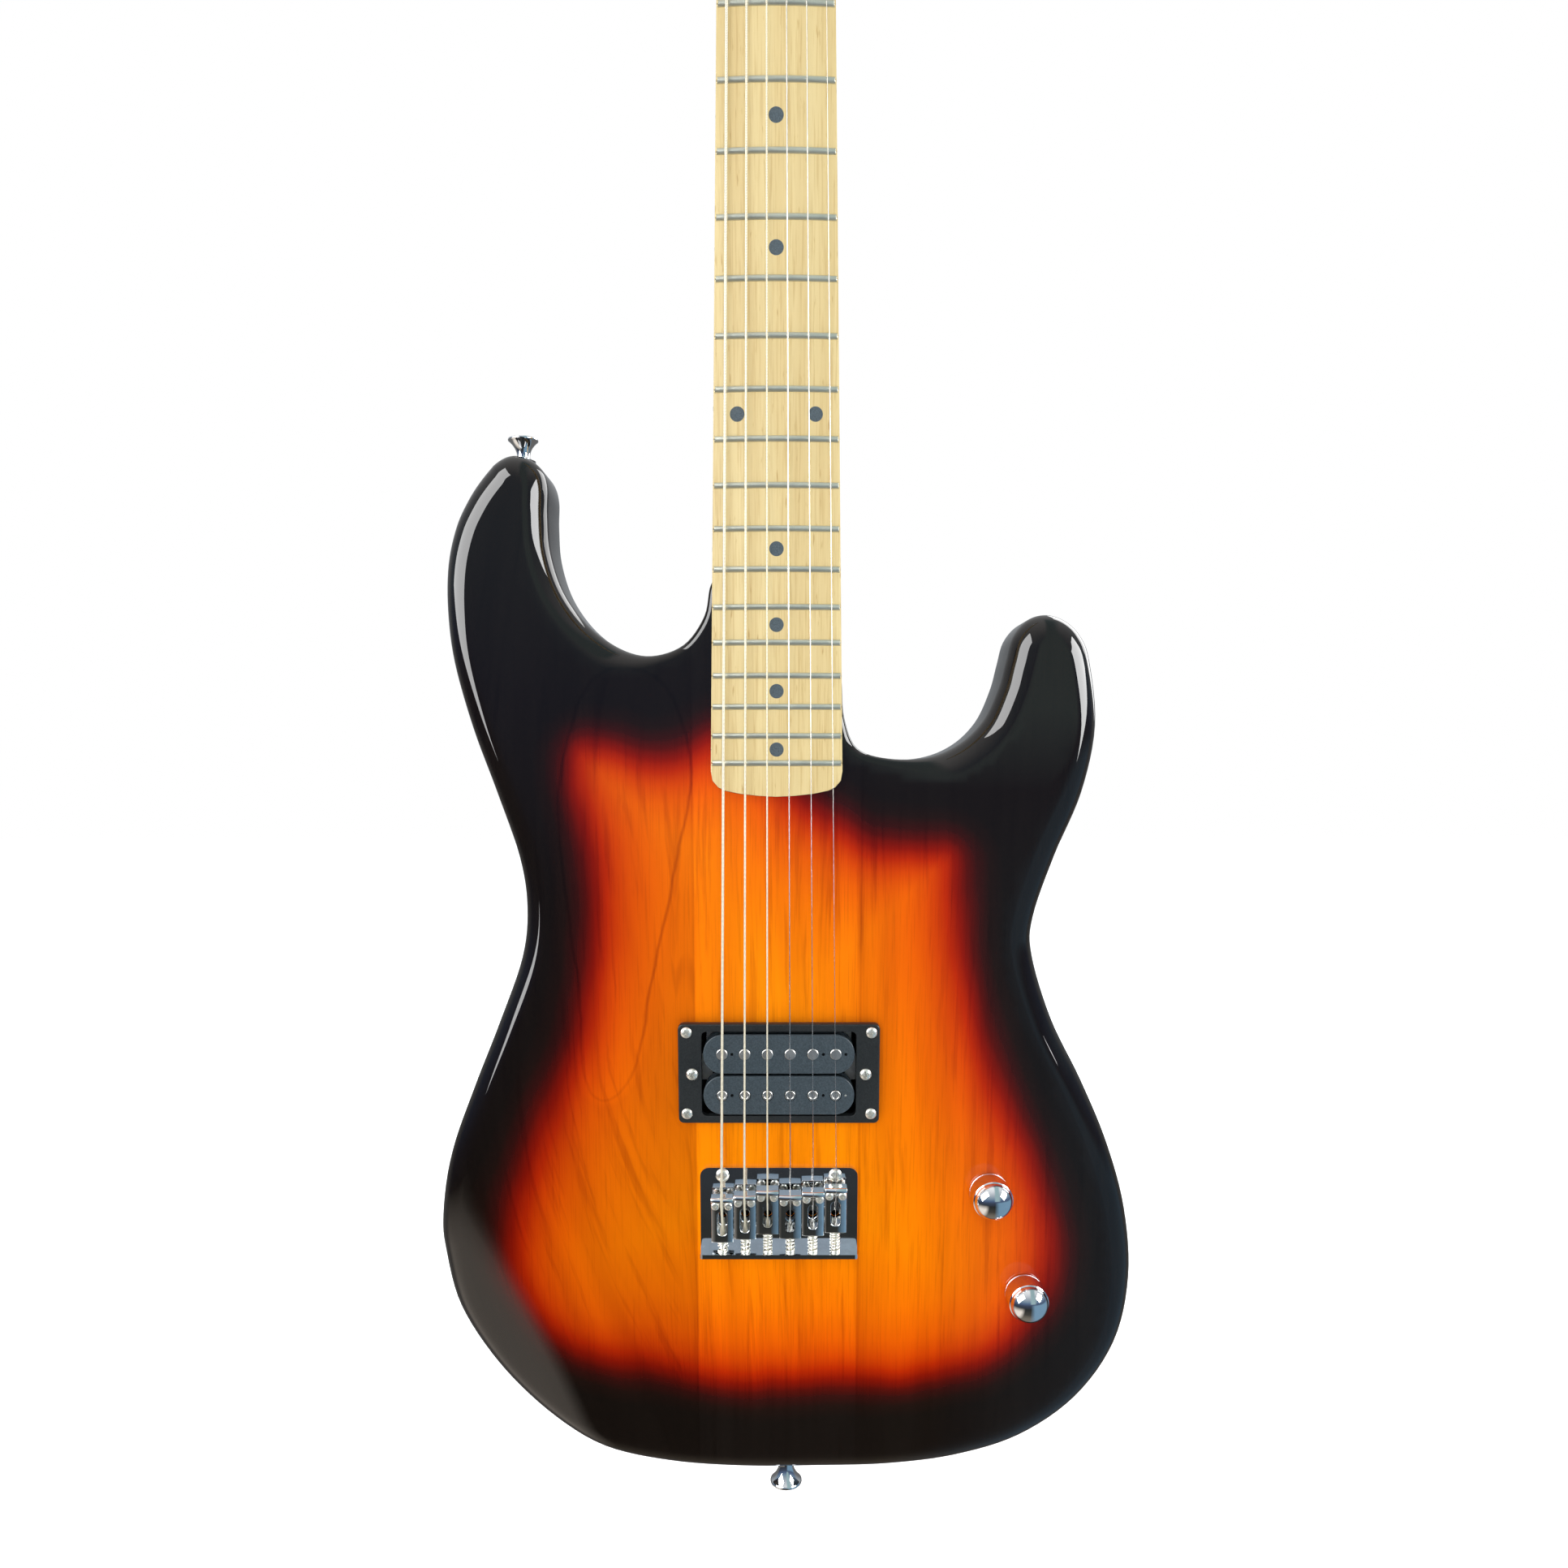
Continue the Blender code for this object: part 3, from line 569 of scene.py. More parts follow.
def lacquer_look():
    """Sunburst under clear gloss: the distance to the burst's edge sets the colour."""
    look = Surface("sunburst_lacquer", 0.32, Coat_Weight=1.0, Coat_Roughness=0.012,
                   Coat_IOR=1.5, Specular_IOR_Level=0.0)
    wander = look.spread(look.noise(22, 2, stretch=(1, 1, 0.5)), -2.2, 2.2)
    edge = look.plus(look.attribute("burst"), wander)
    reach = (-20.0, 80.0)
    stops = ((-19, (21, 16, 13)), (-13, (30, 17, 13)), (-8, (52, 15, 12)), (-4, (84, 14, 8)),
             (1, (136, 20, 3)), (6, (180, 40, 1)), (12, (208, 68, 1)), (21, (226, 92, 1)),
             (38, (239, 114, 1)), (78, (248, 136, 1)))
    burst = look.ramp(look.remap(edge, *reach, 0, 1), [
        ((mm - reach[0]) / (reach[1] - reach[0]), linear(*rgb)) for mm, rgb in stops])
    x, _, z = look.axes()
    # Fine lines run beside the long growth ring on the bass board, and straight elsewhere.
    ring = look.times(look.attribute("ring"), 0.001)
    left, right = (look.remap(x, at - 0.0008, at + 0.0008, 0, 1) for at in GLUE_LINES)
    share = look.remap(x, -0.045, -0.036, 0.25, 0)
    bend = look.times(ring, share)
    straight = look.times(x, look.math("SUBTRACT", 1.0, share))
    wave = look.spread(look.noise(9, 2, stretch=(1, 1, 0.35)), -0.004, 0.004)
    joined = look.node("ShaderNodeCombineXYZ")
    look.link(look.plus(look.plus(bend, straight), wave), joined.inputs[0])
    look.link(look.times(z, 0.05), joined.inputs[2])
    broad = look.noise(60, 3, 0.6, vector=joined.outputs[0])
    lines = look.noise(260, 3, 0.6, vector=joined.outputs[0])
    pores = look.noise(1500, 3, 0.6, stretch=(1, 1, 0.02))
    layers = [
        look.ramp(broad, ((0.3, linear(228, 221, 220)), (0.5, linear(247, 244, 243)),
                          (0.62, WHITE))),
        look.ramp(lines, ((0.34, linear(232, 224, 220)), (0.46, WHITE))),
        look.ramp(pores, ((0.30, linear(236, 231, 228)), (0.48, WHITE))),
    ]
    # The bass board is darker, most of all between the growth ring and the glue line.
    outside = look.remap(ring, -0.004, 0.0, 1, 0)
    low = look.remap(z, -0.68, -0.48, 1, 0.25)
    layers.append(look.mix(left, look.mix(look.times(outside, low),
                                          linear(240, 235, 230), linear(222, 212, 205)), WHITE))
    layers.append(look.mix(right, WHITE, linear(248, 245, 240)))
    for at in GLUE_LINES:
        seam = look.math("ABSOLUTE", look.plus(x, -at))
        layers.append(look.ramp(look.remap(seam, 0.0, 0.0009, 0, 1), (
            (0.0, linear(228, 216, 210)), (1.0, WHITE))))
    thread = look.math("ABSOLUTE", look.plus(ring, look.spread(
        look.noise(60, 2), -0.0005, 0.0005)))
    fade = look.remap(z, -0.6, -0.57, 0.35, 0.8)
    line = look.times(look.remap(thread, 0.0, 0.0011, 1, 0), fade)
    layers.append(look.mix(line, WHITE, linear(196, 176, 168)))
    wood = look.layered(burst, *layers)
    # Faces inside the cavities and holes are painted near-black: painted shade in the recesses.
    look.colour(look.mix(look.attribute("painted_cavity_shade"), wood, (0.012, 0.011, 0.01)))
    look.roughness(look.spread(look.noise(35, 3), 0.28, 0.38))
    return look.material


def maple_look(name, pale, deep, gloss):
    """Maple with broad bands, fine lines and small flecks along the neck."""
    look = Surface(name, 0.36, Coat_Weight=gloss, Coat_Roughness=0.16)
    wave = look.spread(look.noise(14, 2, stretch=(1, 1, 0.25)), -0.003, 0.003)
    x, y, z = look.axes()
    joined = look.node("ShaderNodeCombineXYZ")
    look.link(look.plus(x, wave), joined.inputs[0])
    look.link(look.times(z, 0.03), joined.inputs[2])
    look.link(y, joined.inputs[1])
    bands = look.noise(130, 3, 0.55, vector=joined.outputs[0])
    fine = look.noise(1300, 3, 0.6, stretch=(1, 1, 0.025))
    flecks = look.noise(900, 2, 0.5, stretch=(1, 1, 0.12))
    base = look.ramp(bands, ((0.3, linear(*deep)), (0.5, linear(*[
        (a + b) / 2 for a, b in zip(pale, deep)])), (0.68, linear(*pale))))
    lines = look.ramp(fine, ((0.33, linear(238, 229, 214)), (0.5, WHITE)))
    spots = look.ramp(flecks, ((0.24, linear(226, 211, 188)), (0.34, WHITE)))
    look.colour(look.layered(base, lines, spots))
    look.roughness(look.spread(flecks, 0.3, 0.42))
    look.bump(fine, 0.12, 0.05)
    return look.material


def metal_look(name, colour, rough, spread, brushed=(1, 1, 1), bump=0.0, metallic=1.0):
    """Plated or bare metal with cloudy wear and fine brushing."""
    look = Surface(name, rough, metallic, colour)
    smudge = look.noise(60, 4, 0.6)
    look.roughness(look.remap(smudge, 0.35, 0.72, rough, rough + spread))
    look.colour(look.ramp(look.noise(140, 3), (
        (0.3, tuple(c * 0.9 for c in colour)), (0.6, colour))))
    if bump:
        look.bump(look.noise(900, 2, stretch=brushed), bump, 0.03)
    return look.material


def plastic_look(name, colour, rough, grain):
    """Moulded plastic with a fine spark-eroded grain."""
    look = Surface(name, rough, 0.0, colour, Specular_IOR_Level=0.3)
    speck = look.noise(1800, 2, 0.6)
    cloud = look.noise(45, 3, 0.6)
    look.colour(look.ramp(speck, ((0.3, tuple(c * 0.72 for c in colour)), (0.7, tuple(
        c * 1.28 for c in colour)))))
    look.roughness(look.spread(cloud, rough - 0.05, rough + 0.08))
    look.bump(speck, grain, 0.06)
    return look.material


def bone_look():
    look = Surface("bone", 0.34, Subsurface_Weight=0.15, Subsurface_Scale=0.002)
    cloud = look.noise(260, 4, 0.6)
    look.colour(look.ramp(cloud, ((0.3, linear(222, 212, 188)), (0.7, linear(243, 238, 224)))))
    look.bump(cloud, 0.05, 0.05)
    return look.material


def wound_look():
    """Round-wound string: the wrap wire's turns follow the string's length, with painted shade in
    the grooves between turns.
    """
    look = Surface("wound_string", 0.5, 0.3, (0.72, 0.68, 0.6))
    turns = look.math("SINE", look.times(look.attribute("along"), 2 * math.pi / 0.42))
    # Painted shade: the colour darkens in the grooves between the turns and is palest on their
    # crowns.
    shade = look.ramp(look.remap(turns, -1, 1, 0, 1), (
        (0.0, linear(140, 128, 104)), (0.45, linear(222, 214, 190)), (1.0, linear(238, 231, 208))))
    look.colour(shade)
    look.bump(turns, 0.25, 0.06)
    return look.material


def felt_look():
    look = Surface("felt", 0.95, 0.0, (0.02, 0.02, 0.02), Sheen_Weight=0.4)
    fibre = look.noise(2400, 3, 0.7)
    look.colour(look.ramp(fibre, ((0.3, (0.012, 0.012, 0.013)), (0.7, (0.05, 0.05, 0.052)))))
    look.bump(fibre, 0.6, 0.2)
    return look.material


def make_looks():
    steel = (0.62, 0.6, 0.56)
    return {
        "lacquer": (lacquer_look(), "body_lacquer"),
        "maple": (maple_look("maple_board", (221, 198, 141), (207, 180, 121), 0.2), "maple"),
        "neck": (maple_look("maple_neck", (236, 205, 150), (214, 176, 118), 0.5), "maple"),
        "bone": (bone_look(), "nut_white"),
        "ring": (plastic_look("ring_plastic", linear(33, 36, 37), 0.4, 0.2), "black_plastic"),
        "bobbin": (plastic_look("bobbin_plastic", linear(58, 68, 74), 0.34, 0.18),
                   "coil_black"),
        "tape": (plastic_look("coil_tape", linear(22, 21, 21), 0.4, 0.5), "coil_black"),
        "cover": (plastic_look("cover_plastic", linear(24, 24, 24), 0.33, 0.1),
                  "black_plastic"),
        "dot": (plastic_look("inlay_dot", linear(78, 88, 94), 0.28, 0.04), "black_plastic"),
        "felt": (felt_look(), "black_plastic"),
        "chrome": (metal_look("chrome_plate", (0.82, 0.84, 0.86), 0.03, 0.06), "chrome"),
        "screw": (metal_look("screw_nickel", (0.86, 0.83, 0.74), 0.24, 0.12, metallic=0.82),
                  "nickel"),
        "fret": (metal_look("fret_wire", (0.60, 0.60, 0.50), 0.3, 0.1, (1, 20, 20), 0.05, 0.85),
                 "nickel"),
        "pole": (metal_look("pole_steel", (0.62, 0.61, 0.58), 0.34, 0.12, (30, 1, 1), 0.12),
                 "nickel"),
        "steel": (metal_look("plain_steel", steel, 0.26, 0.15, (1, 1, 12), 0.1), "steel"),
        "socket": (metal_look("dark_socket", (0.05, 0.05, 0.05), 0.5, 0.1), "steel"),
        "plain": (metal_look("plain_string", (0.62, 0.60, 0.56), 0.22, 0.08), "string_steel"),
        "wound": (wound_look(), "string_steel"),
        "brass": (metal_look("ball_brass", (0.78, 0.62, 0.32), 0.22, 0.12), "string_steel"),
    }


# ---------------------------------------------------------------- shared places
def neck_half_width(z):
    last = SCALE_LENGTH * (1 - 2 ** (-LAST_FRET / 12))
    return NUT_WIDTH / 2 + (HEEL_WIDTH - NUT_WIDTH) / 2 * -z / last


def neck_plan(top, grow=0.0):
    right = [(neck_half_width(top) + grow, top)]
    right += [(x + grow, z - grow * (z < HEEL_CORNER[0][1])) for x, z in HEEL_CORNER]
    return right + [(0, NECK_END - grow)] + [(-x, z) for x, z in reversed(right)]


def crown(x):
    """How far a surface with the fingerboard's radius falls away at x."""
    return x * x / (2 * BOARD_RADIUS)


def fret_z(number):
    return -SCALE_LENGTH * (1 - 2 ** (-number / 12))


def string_radius(i):
    return STRING_DIAMETERS[i] / 2


def nut_point(i):
    x = NUT_SPAN * (i / (STRING_COUNT - 1) - 0.5)
    return Vector((x, NUT_STRING_Y + crown(x), 1.9))


def bridge_point(i):
    x = HARDWARE_X + BRIDGE_SPAN * (i / (STRING_COUNT - 1) - 0.5)
    return Vector((x, BRIDGE_STRING_Y + crown(x), CREST_Z[i]))


def post_place(i):
    return Vector((FIRST_POST[0] + POST_STEP[0] * i, 0, FIRST_POST[1] + POST_STEP[1] * i))


def tuner_frame(i):
    """Local x points out of the headstock's edge, y to the back, z down the row of posts."""
    along = Vector((POST_STEP[0], 0, POST_STEP[1])).normalized()
    outward = Vector((-along.z, 0, along.x))
    columns = Matrix((outward, Vector(TO_BACK), -along)).transposed()
    return Matrix.Translation(post_place(i)) @ columns.to_4x4()


def neck_screw_places():
    return [(x, z) for x in (-18.5, 18.5) for z in (-410.5, -459.5)]


# ---------------------------------------------------------------- fasteners
def screw(name, place, out, radius, height, twist=0.0, stands_for=(), shank=3.0):
    """A domed screw head whose rim is at place, with a cross in it."""
    place, out = Vector(place), Vector(out).normalized()
    rim = min(0.3 * height, 0.5)
    profile = [(0, -shank), (radius * 0.5, -shank), (radius * 0.5, -0.05),
               (radius * 0.94, -0.05), (radius, 0.15), (radius, rim)]
    profile += [(radius * c, rim + (height - rim) * s) for c, s in quarter(6)[1:]]
    profile[-1] = (0, height)
    turn = out.to_track_quat("Z", "Y").to_matrix().to_4x4()
    spin = Matrix.Translation(place) @ turn @ Matrix.Rotation(twist, 4, "Z")
    reach = 0.62 * radius
    arms = []
    for half_x, half_y in ((1, 0.19), (0.19, 1)):
        arm = box((-half_x * reach, -half_y * reach, height * 0.42),
                  (half_x * reach, half_y * reach, height + 2))
        arm.transform(spin)
        arms.append(arm)
    return piece(name, turned(profile, place, out, 28), "screw", removed=arms, smooth=40,
                 stands_for=stands_for, weighted=False)


# ---------------------------------------------------------------- body
def edge_radius(point):
    """The roundover is full all round, and eases out beside the neck."""
    x, z = point
    if z < -470:
        return EDGE_RADIUS
    share = min(max((abs(x) - 30) / 30, 0), 1)
    return HEEL_EDGE_RADIUS + (EDGE_RADIUS - HEEL_EDGE_RADIUS) * share ** 2 * (3 - 2 * share)


def turning_radius(loop, reach):
    """Radius of the circle through each point and its neighbours reach points away."""
    count = len(loop)
    radii = []
    for i in range(count):
        a, b, c = loop[i - reach], loop[i], loop[(i + reach) % count]
        area = abs((b - a).cross(c - a)) / 2
        radii.append((b - a).length * (c - b).length * (a - c).length / max(4 * area, 1e-6))
    return radii


def rim_radii(loop):
    """Edge radii, held under the outline's own turning radius at the horns' tips."""
    wanted = [min(edge_radius(p), 0.8 * r) for p, r in zip(loop, turning_radius(loop, 5))]
    count, reach = len(loop), 7
    eased = []
    for i in range(count):
        around = [wanted[(i + k) % count] for k in range(-reach, reach + 1)]
        eased.append(min(sum(around) / len(around), min(around) + 0.8))
    return eased


def softened(value, width):
    """Zero below 0 and value above it, with a soft knee."""
    return width * math.log1p(math.exp(min(value / width, 40)))


FOREARM_LINE = (Vector((-155, -634)), Vector((-78, -782)))
FOREARM_SLOPE = math.tan(math.radians(19))
FOREARM_MOST = 19.0
SCOOP = {"x": -60, "z": -535, "radius": 140, "fall": 0.3, "most": 20.0}


def forearm_drop(x, z):
    """How far the front falls away past the forearm line."""
    start, end = FOREARM_LINE
    along = (end - start).normalized()
    distance = (Vector((x, z)) - start).dot(Vector((along.y, -along.x)))
    bow = 0.0009 * ((Vector((x, z)) - start).dot(along) - 80) ** 2
    return min(softened(distance - bow, 3.5) * FOREARM_SLOPE, FOREARM_MOST)


def belly_rise(x, z):
    """How far the back is scooped in at the waist."""
    reach = min(abs(z - SCOOP["z"]), SCOOP["radius"] * 0.98)
    depth = SCOOP["fall"] * (SCOOP["x"] - x)
    depth -= SCOOP["radius"] - math.sqrt(SCOOP["radius"] ** 2 - reach ** 2)
    return min(softened(depth, 1.2), SCOOP["most"])


def filled(loop, spacing, level):
    """A flat cap made of small triangles inside a loop."""
    points = [Vector(p) for p in loop]
    count = len(points)
    inside = scattered(points, spacing)
    edges = [(i, (i + 1) % count) for i in range(count)]
    verts, _, faces, *_ = delaunay_2d_cdt(points + inside, edges, [list(range(count))], 1, 1e-5)
    bm = bmesh.new()
    made = [bm.verts.new((p.x, level(p), p.y)) for p in verts]
    for face in faces:
        bm.faces.new([made[k] for k in face])
    return bm


def distance_to(points, loop):
    """Distances from points to a closed loop, positive inside it."""
    a = np.array([tuple(p) for p in loop])
    b = np.roll(a, -1, axis=0)
    step = b - a
    away = points[:, None, :] - a[None]
    share = np.clip((away * step).sum(-1) / (step ** 2).sum(-1), 0, 1)
    nearest = np.sqrt(((away - share[..., None] * step) ** 2).sum(-1)).min(1)
    z = points[:, 1:2]
    spans = (a[None, :, 1] > z) != (b[None, :, 1] > z)
    rise = np.where(step[:, 1] == 0, 1e-9, step[:, 1])
    crossing = a[None, :, 0] + (z - a[None, :, 1]) * step[None, :, 0] / rise
    odd = (spans & (points[:, :1] < crossing)).sum(1) % 2 == 1
    return np.where(odd, nearest, -nearest)


def scattered(loop, spacing):
    """Staggered grid points inside a loop, clear of its edge."""
    low_x, high_x = min(p.x for p in loop), max(p.x for p in loop)
    low_z, high_z = min(p.y for p in loop), max(p.y for p in loop)
    spots = []
    row_step = spacing * math.sqrt(3) / 2
    for row in range(int((high_z - low_z) / row_step) + 1):
        for k in range(int((high_x - low_x) / spacing) + 2):
            spots.append((low_x + spacing * (k + 0.5 * (row % 2)), low_z + row * row_step))
    spots = np.array(spots)
    clear = distance_to(spots, loop) > spacing * 0.6
    return [Vector(p) for p in spots[clear]]


def body_bmesh():
    loop = smooth_loop(BODY_OUTLINE, 6)
    normals = loop_normals(loop)
    radii = rim_radii(loop)
    rings = []
    for front in (True, False):
        half = []
        for c, s in quarter(9):
            ring = []
            for p, n, r in zip(loop, normals, radii):
                q = p - n * r * (1 - s)
                rise = r * (1 - c)
                if front:
                    y = BODY_FRONT + forearm_drop(q.x, q.y) + rise
                else:
                    y = BODY_BACK - belly_rise(q.x, q.y) - rise
                ring.append(Vector((q.x, y, q.y)))
            half.append(ring)
        rings += half if front else half[::-1]
    sides = loft(rings, closed_ends=False)
    caps = []
    for ring, level in ((rings[0], lambda p: BODY_FRONT + forearm_drop(p.x, p.y)),
                        (rings[-1], lambda p: BODY_BACK - belly_rise(p.x, p.y))):
        caps.append(filled([Vector((p.x, p.z)) for p in ring], 4.0, level))
    whole = merged(sides, *caps)
    bmesh.ops.remove_doubles(whole, verts=whole.verts, dist=0.002)
    return sealed(whole)


def body_cutters():
    """Everything that is routed or drilled out of the body, as one solid."""
    centre = (HARDWARE_X, PICKUP_Z)
    cavity = smooth_loop(CONTROL_CAVITY, 6)
    cutter = raw_object("routing", prism(neck_plan(-350, 0.35), "Y", 0, HEEL_DEPTH + 0.3))
    added = [
        prism(rounded_rectangle(centre, (72, 40), 4), "Y", 0, 31),
        prism(rounded_rectangle(centre, (87, 14), 4), "Y", 1, 30.5),
        rod(3.5, (30, 26, -600), (100, 26, -652)),
        prism(cavity, "Y", TOP_WOOD, BODY_BACK + 5),
        prism(grown(cavity, 6.0), "Y", BODY_BACK - 1.9, BODY_BACK + 6),
        box((JACK_SEAT_X, BODY_MIDDLE - 10.9, JACK_Z - 17.4),
            (175, BODY_MIDDLE + 10.9, JACK_Z + 17.4)),
        rod(JACK_BORE, (120, BODY_MIDDLE, JACK_Z), (180, BODY_MIDDLE, JACK_Z)),
    ]
    added += [bore(5.0, x, z, 0, 25) for x, z in KNOBS.values()]
    added += [bore(2.6, x, z, 20, 60) for x, z in neck_screw_places()]
    xs = [bridge_point(i).x for i in range(STRING_COUNT)]
    added += [bore(1.8, x, STRING_HOLE_Z, 5, 20) for x in xs]
    carve(cutter, added=added)
    return cutter


def mark_routed(mesh):
    """Faces inside the cavities and drilled holes are painted near-black: painted shade in the
    recesses.
    """
    middles = np.array([tuple(face.center) for face in mesh.polygons]) / MM
    deep = distance_to(middles[:, (0, 2)], smooth_loop(BODY_OUTLINE, 6)) > EDGE_RADIUS + 1
    painted_cavity_shade = [inside and BODY_FRONT + forearm_drop(x, z) + 0.15 < y
              < BODY_BACK - belly_rise(x, z) - 0.15 for inside, (x, y, z) in zip(deep, middles)]
    paint = mesh.attributes.new("painted_cavity_shade", "FLOAT", "FACE")
    paint.data.foreach_set("value", np.array(painted_cavity_shade, np.float32))


def make_body():
    """The body with everything routed out, and the distances that its material needs."""
    body = raw_object("body_shell", body_bmesh())
    cutter = body_cutters()
    change = body.modifiers.new("routing", "BOOLEAN")
    change.solver = "EXACT"
    change.object = cutter
    carve(body)
    bpy.data.objects.remove(cutter)
    finish(body, "lacquer", smooth=38, weighted=False)
    co = np.zeros(len(body.data.vertices) * 3)
    body.data.vertices.foreach_get("co", co)
    plan = co.reshape(-1, 3)[:, (0, 2)] / MM
    mark_routed(body.data)
    for name, edge in (("burst", BURST_EDGE), ("ring", GRAIN_LOOP)):
        field = body.data.attributes.new(name, "FLOAT", "POINT")
        distance = distance_to(plan, smooth_loop(edge, 4))
        field.data.foreach_set("value", distance.astype(np.float32))
    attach(body, "guitar")
    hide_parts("body")


# ---------------------------------------------------------------- neck
def neck_section(z, top):
    """Half round along the neck, and nearly square in the heel."""
    count = 40
    heel = min(max((-z - 372) / 26, 0), 1)
    heel = heel * heel * (3 - 2 * heel)
    back = 20.3 + 2.4 * min(-z, 372) / 372
    back += (HEEL_DEPTH - back) * heel
    power = 2 / (2.3 + 40 * heel ** 3)
    points = []
    for k in range(count + 1):
        angle = math.pi * k / count
        x = math.copysign(abs(math.cos(angle)) ** power, math.cos(angle))
        y = math.sin(angle) ** power if 0 < k < count else 0
        points.append(Vector((x * neck_half_width(z), top + (back - top) * y, z)))
    return points


def make_neck():
    """The shaft, lofted up into the headstock, which is a slab of its own."""
    heights = [NECK_END - 5] + [-440 + 4 * k for k in range(20)]
    heights += [-350 + 25 * k for k in range(15)] + [4.6]
    rings = [neck_section(z, BOARD_THICK) for z in heights]
    shoulder = ((6.5, 5.4, 1.0, 20.3), (9, 6.6, 1.0, 20.4), (14, 8.4, 0.98, 21.0),
                (20, 9, 0.86, 21.4), (30, 9, 0.6, 21.6))
    for z, top, narrow, back in shoulder:
        flat = neck_section(0, top)
        deepest = max(p.y for p in flat)
        rings.append([Vector((p.x * narrow, top + (p.y - top) * (back - top) / (deepest - top), z))
                      for p in flat])
    head = slab(smooth_loop(HEAD_OUTLINE, 5, closed=False), "Y", HEAD_FACE, HEAD_BACK, 1.2)
    holes = [box((-3.4, 0, -452), (3.4, 14.4, 22))]
    holes += [bore(3.4, p.x, p.z, 0, 40) for p in map(post_place, range(STRING_COUNT))]
    piece("neck_shaft", loft(rings), "neck", kept=[prism(neck_plan(40, 0), "Y", -5, 40)],
          added=[head], removed=holes, smooth=32, stands_for=("neck",))


def crowned_bar(low_z, high_z, bottom, top, half_width):
    """A bar across the neck whose front has the fingerboard's radius."""
    steps = 28
    xs = [half_width * (1 - 2 * k / steps) for k in range(steps + 1)]
    upper = [(x, top + crown(x)) for x in xs]
    return prism([(-half_width, bottom), (half_width, bottom)] + upper, "Z", low_z, high_z)


def make_fingerboard():
    slots = [box((-40, -2, fret_z(n) - 0.28), (40, 2.4, fret_z(n) + 0.28))
             for n in range(1, LAST_FRET + 1)]
    board = raw_object("board", crowned_bar(NECK_END - 2, 0, BOARD_THICK, 0, 30))
    carve(board, kept=[prism(neck_plan(0), "Y", -4, 12)])
    carve(board, removed=[merged(*slots)])
    board.name = "maple_board"
    finish(board, "maple", bevel=0.45, smooth=50)
    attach(board, "guitar")
    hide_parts("fingerboard")


def fret_bmesh(number):
    """A crowned wire with bevelled ends that follows the board's radius."""
    z = fret_z(number)
    half = neck_half_width(z) - 0.35
    width, height, steps = 1.25, 0.9, 24
    rings = []
    for k in range(steps + 1):
        x = half * (2 * k / steps - 1)
        ring = []
        for s in range(9):
            angle = math.pi * s / 8
            lift = height * math.sin(angle)
            short = 1 - 0.55 * lift / half if abs(x) > half * 0.9 else 1
            ring.append((x * short, crown(x * short) - lift, z + width * math.cos(angle)))
        ring += [(x, crown(x) + 0.6, z - width * 0.9), (x, crown(x) + 0.6, z + width * 0.9)]
        rings.append(ring)
    return loft(rings)


def make_frets():
    for number in range(1, LAST_FRET + 1):
        piece(f"fret_{number:02d}", fret_bmesh(number), "fret", smooth=50, weighted=False)


def dot_places():
    for number in (3, 5, 7, 9, 12, 15, 17, 19, 21):
        z = (fret_z(number) + fret_z(number - 1)) / 2
        for x in (-16, 16) if number == 12 else (0,):
            yield number, x, z


def make_dots():
    for number, x, z in dot_places():
        side, shift = {0: ("", 0), -16: ("_bass", -2.6), 16: ("_treble", 2.6)}[x]
        y = crown(x) - 0.04
        disc = turned(((0, 1.5), (3.0, 1.5), (3.0, 0.03), (2.94, 0), (0, 0)), (x, y, z),
                      TO_BACK, 40)
        tilt = Matrix.Translation((x, y, z)) @ Matrix.Rotation(x / BOARD_RADIUS, 4, "Z")
        disc.transform(tilt @ Matrix.Translation((-x, -y, -z)))
        piece(f"inlay_dot_{number}{side}", disc, "dot")
        edge = -neck_half_width(z)
        piece(f"side_dot_{number}{side}",
              turned(((0, 0), (0.95, 0), (1.0, 0.06), (1.0, 1), (0, 1)),
                     (edge - 0.04, 2.6, z + shift), TO_TREBLE, 20), "dot")


def make_nut():
    half = NUT_WIDTH / 2 - 0.2
    grooves = []
    for i in range(STRING_COUNT):
        x, y, _ = nut_point(i)
        r = string_radius(i) + 0.04
        grooves.append(prism((
            (x - 0.5 - r, -4), (x + 0.5 + r, -4), (x + r, y), (x + r * 0.7, y + r * 0.7),
            (x, y + r), (x - r * 0.7, y + r * 0.7), (x - r, y)), "Z", -4, 9))
    piece("bone_nut", crowned_bar(0.02, 3.8, BOARD_THICK, -2.1, half), "bone", removed=grooves,
          bevel=0.35, smooth=40, stands_for=("nut",))


# ---------------------------------------------------------------- pickup
def make_ring():
    centre = (HARDWARE_X, PICKUP_Z)
    frame_outline = rounded_rectangle(centre, RING_SIZE, 2.4)
    opening = rounded_rectangle(centre, (69, 38.6), 2.2)
    piece("surround", slab(frame_outline, "Y", RING_TOP, BODY_FRONT, 0.7, 4, 0.01), "ring",
          removed=[prism(opening, "Y", 0, 12)], bevel=0.25, smooth=50,
          stands_for=("pickup_ring",))
    corners = [(HARDWARE_X + side * 41.2, z) for side in (-1, 1) for z in (-573.8, -611.0)]
    for number, (x, z) in enumerate(corners, 1):
        screw(f"surround_screw_{number}", (x, RING_TOP, z), TO_FRONT, 2.5, 1.3,
              twist=0.5 * number)
    foot = 17.6                 # the springs stand on the pickup's baseplate
    for number, side in enumerate((-1, 1), 1):
        x = HARDWARE_X + side * HEIGHT_SCREW_X
        screw(f"height_screw_{number}", (x, RING_TOP, PICKUP_Z), TO_FRONT, 2.7, 1.8,
              twist=0.9 * number, shank=20, stands_for=(f"pickup_height_screw_{number}",))
        coil = helix((x, RING_TOP + 5, PICKUP_Z), (x, foot, PICKUP_Z), 2.6, 6)
        stretched_piece(f"height_spring_{number}", spring_bmesh(coil), "steel")


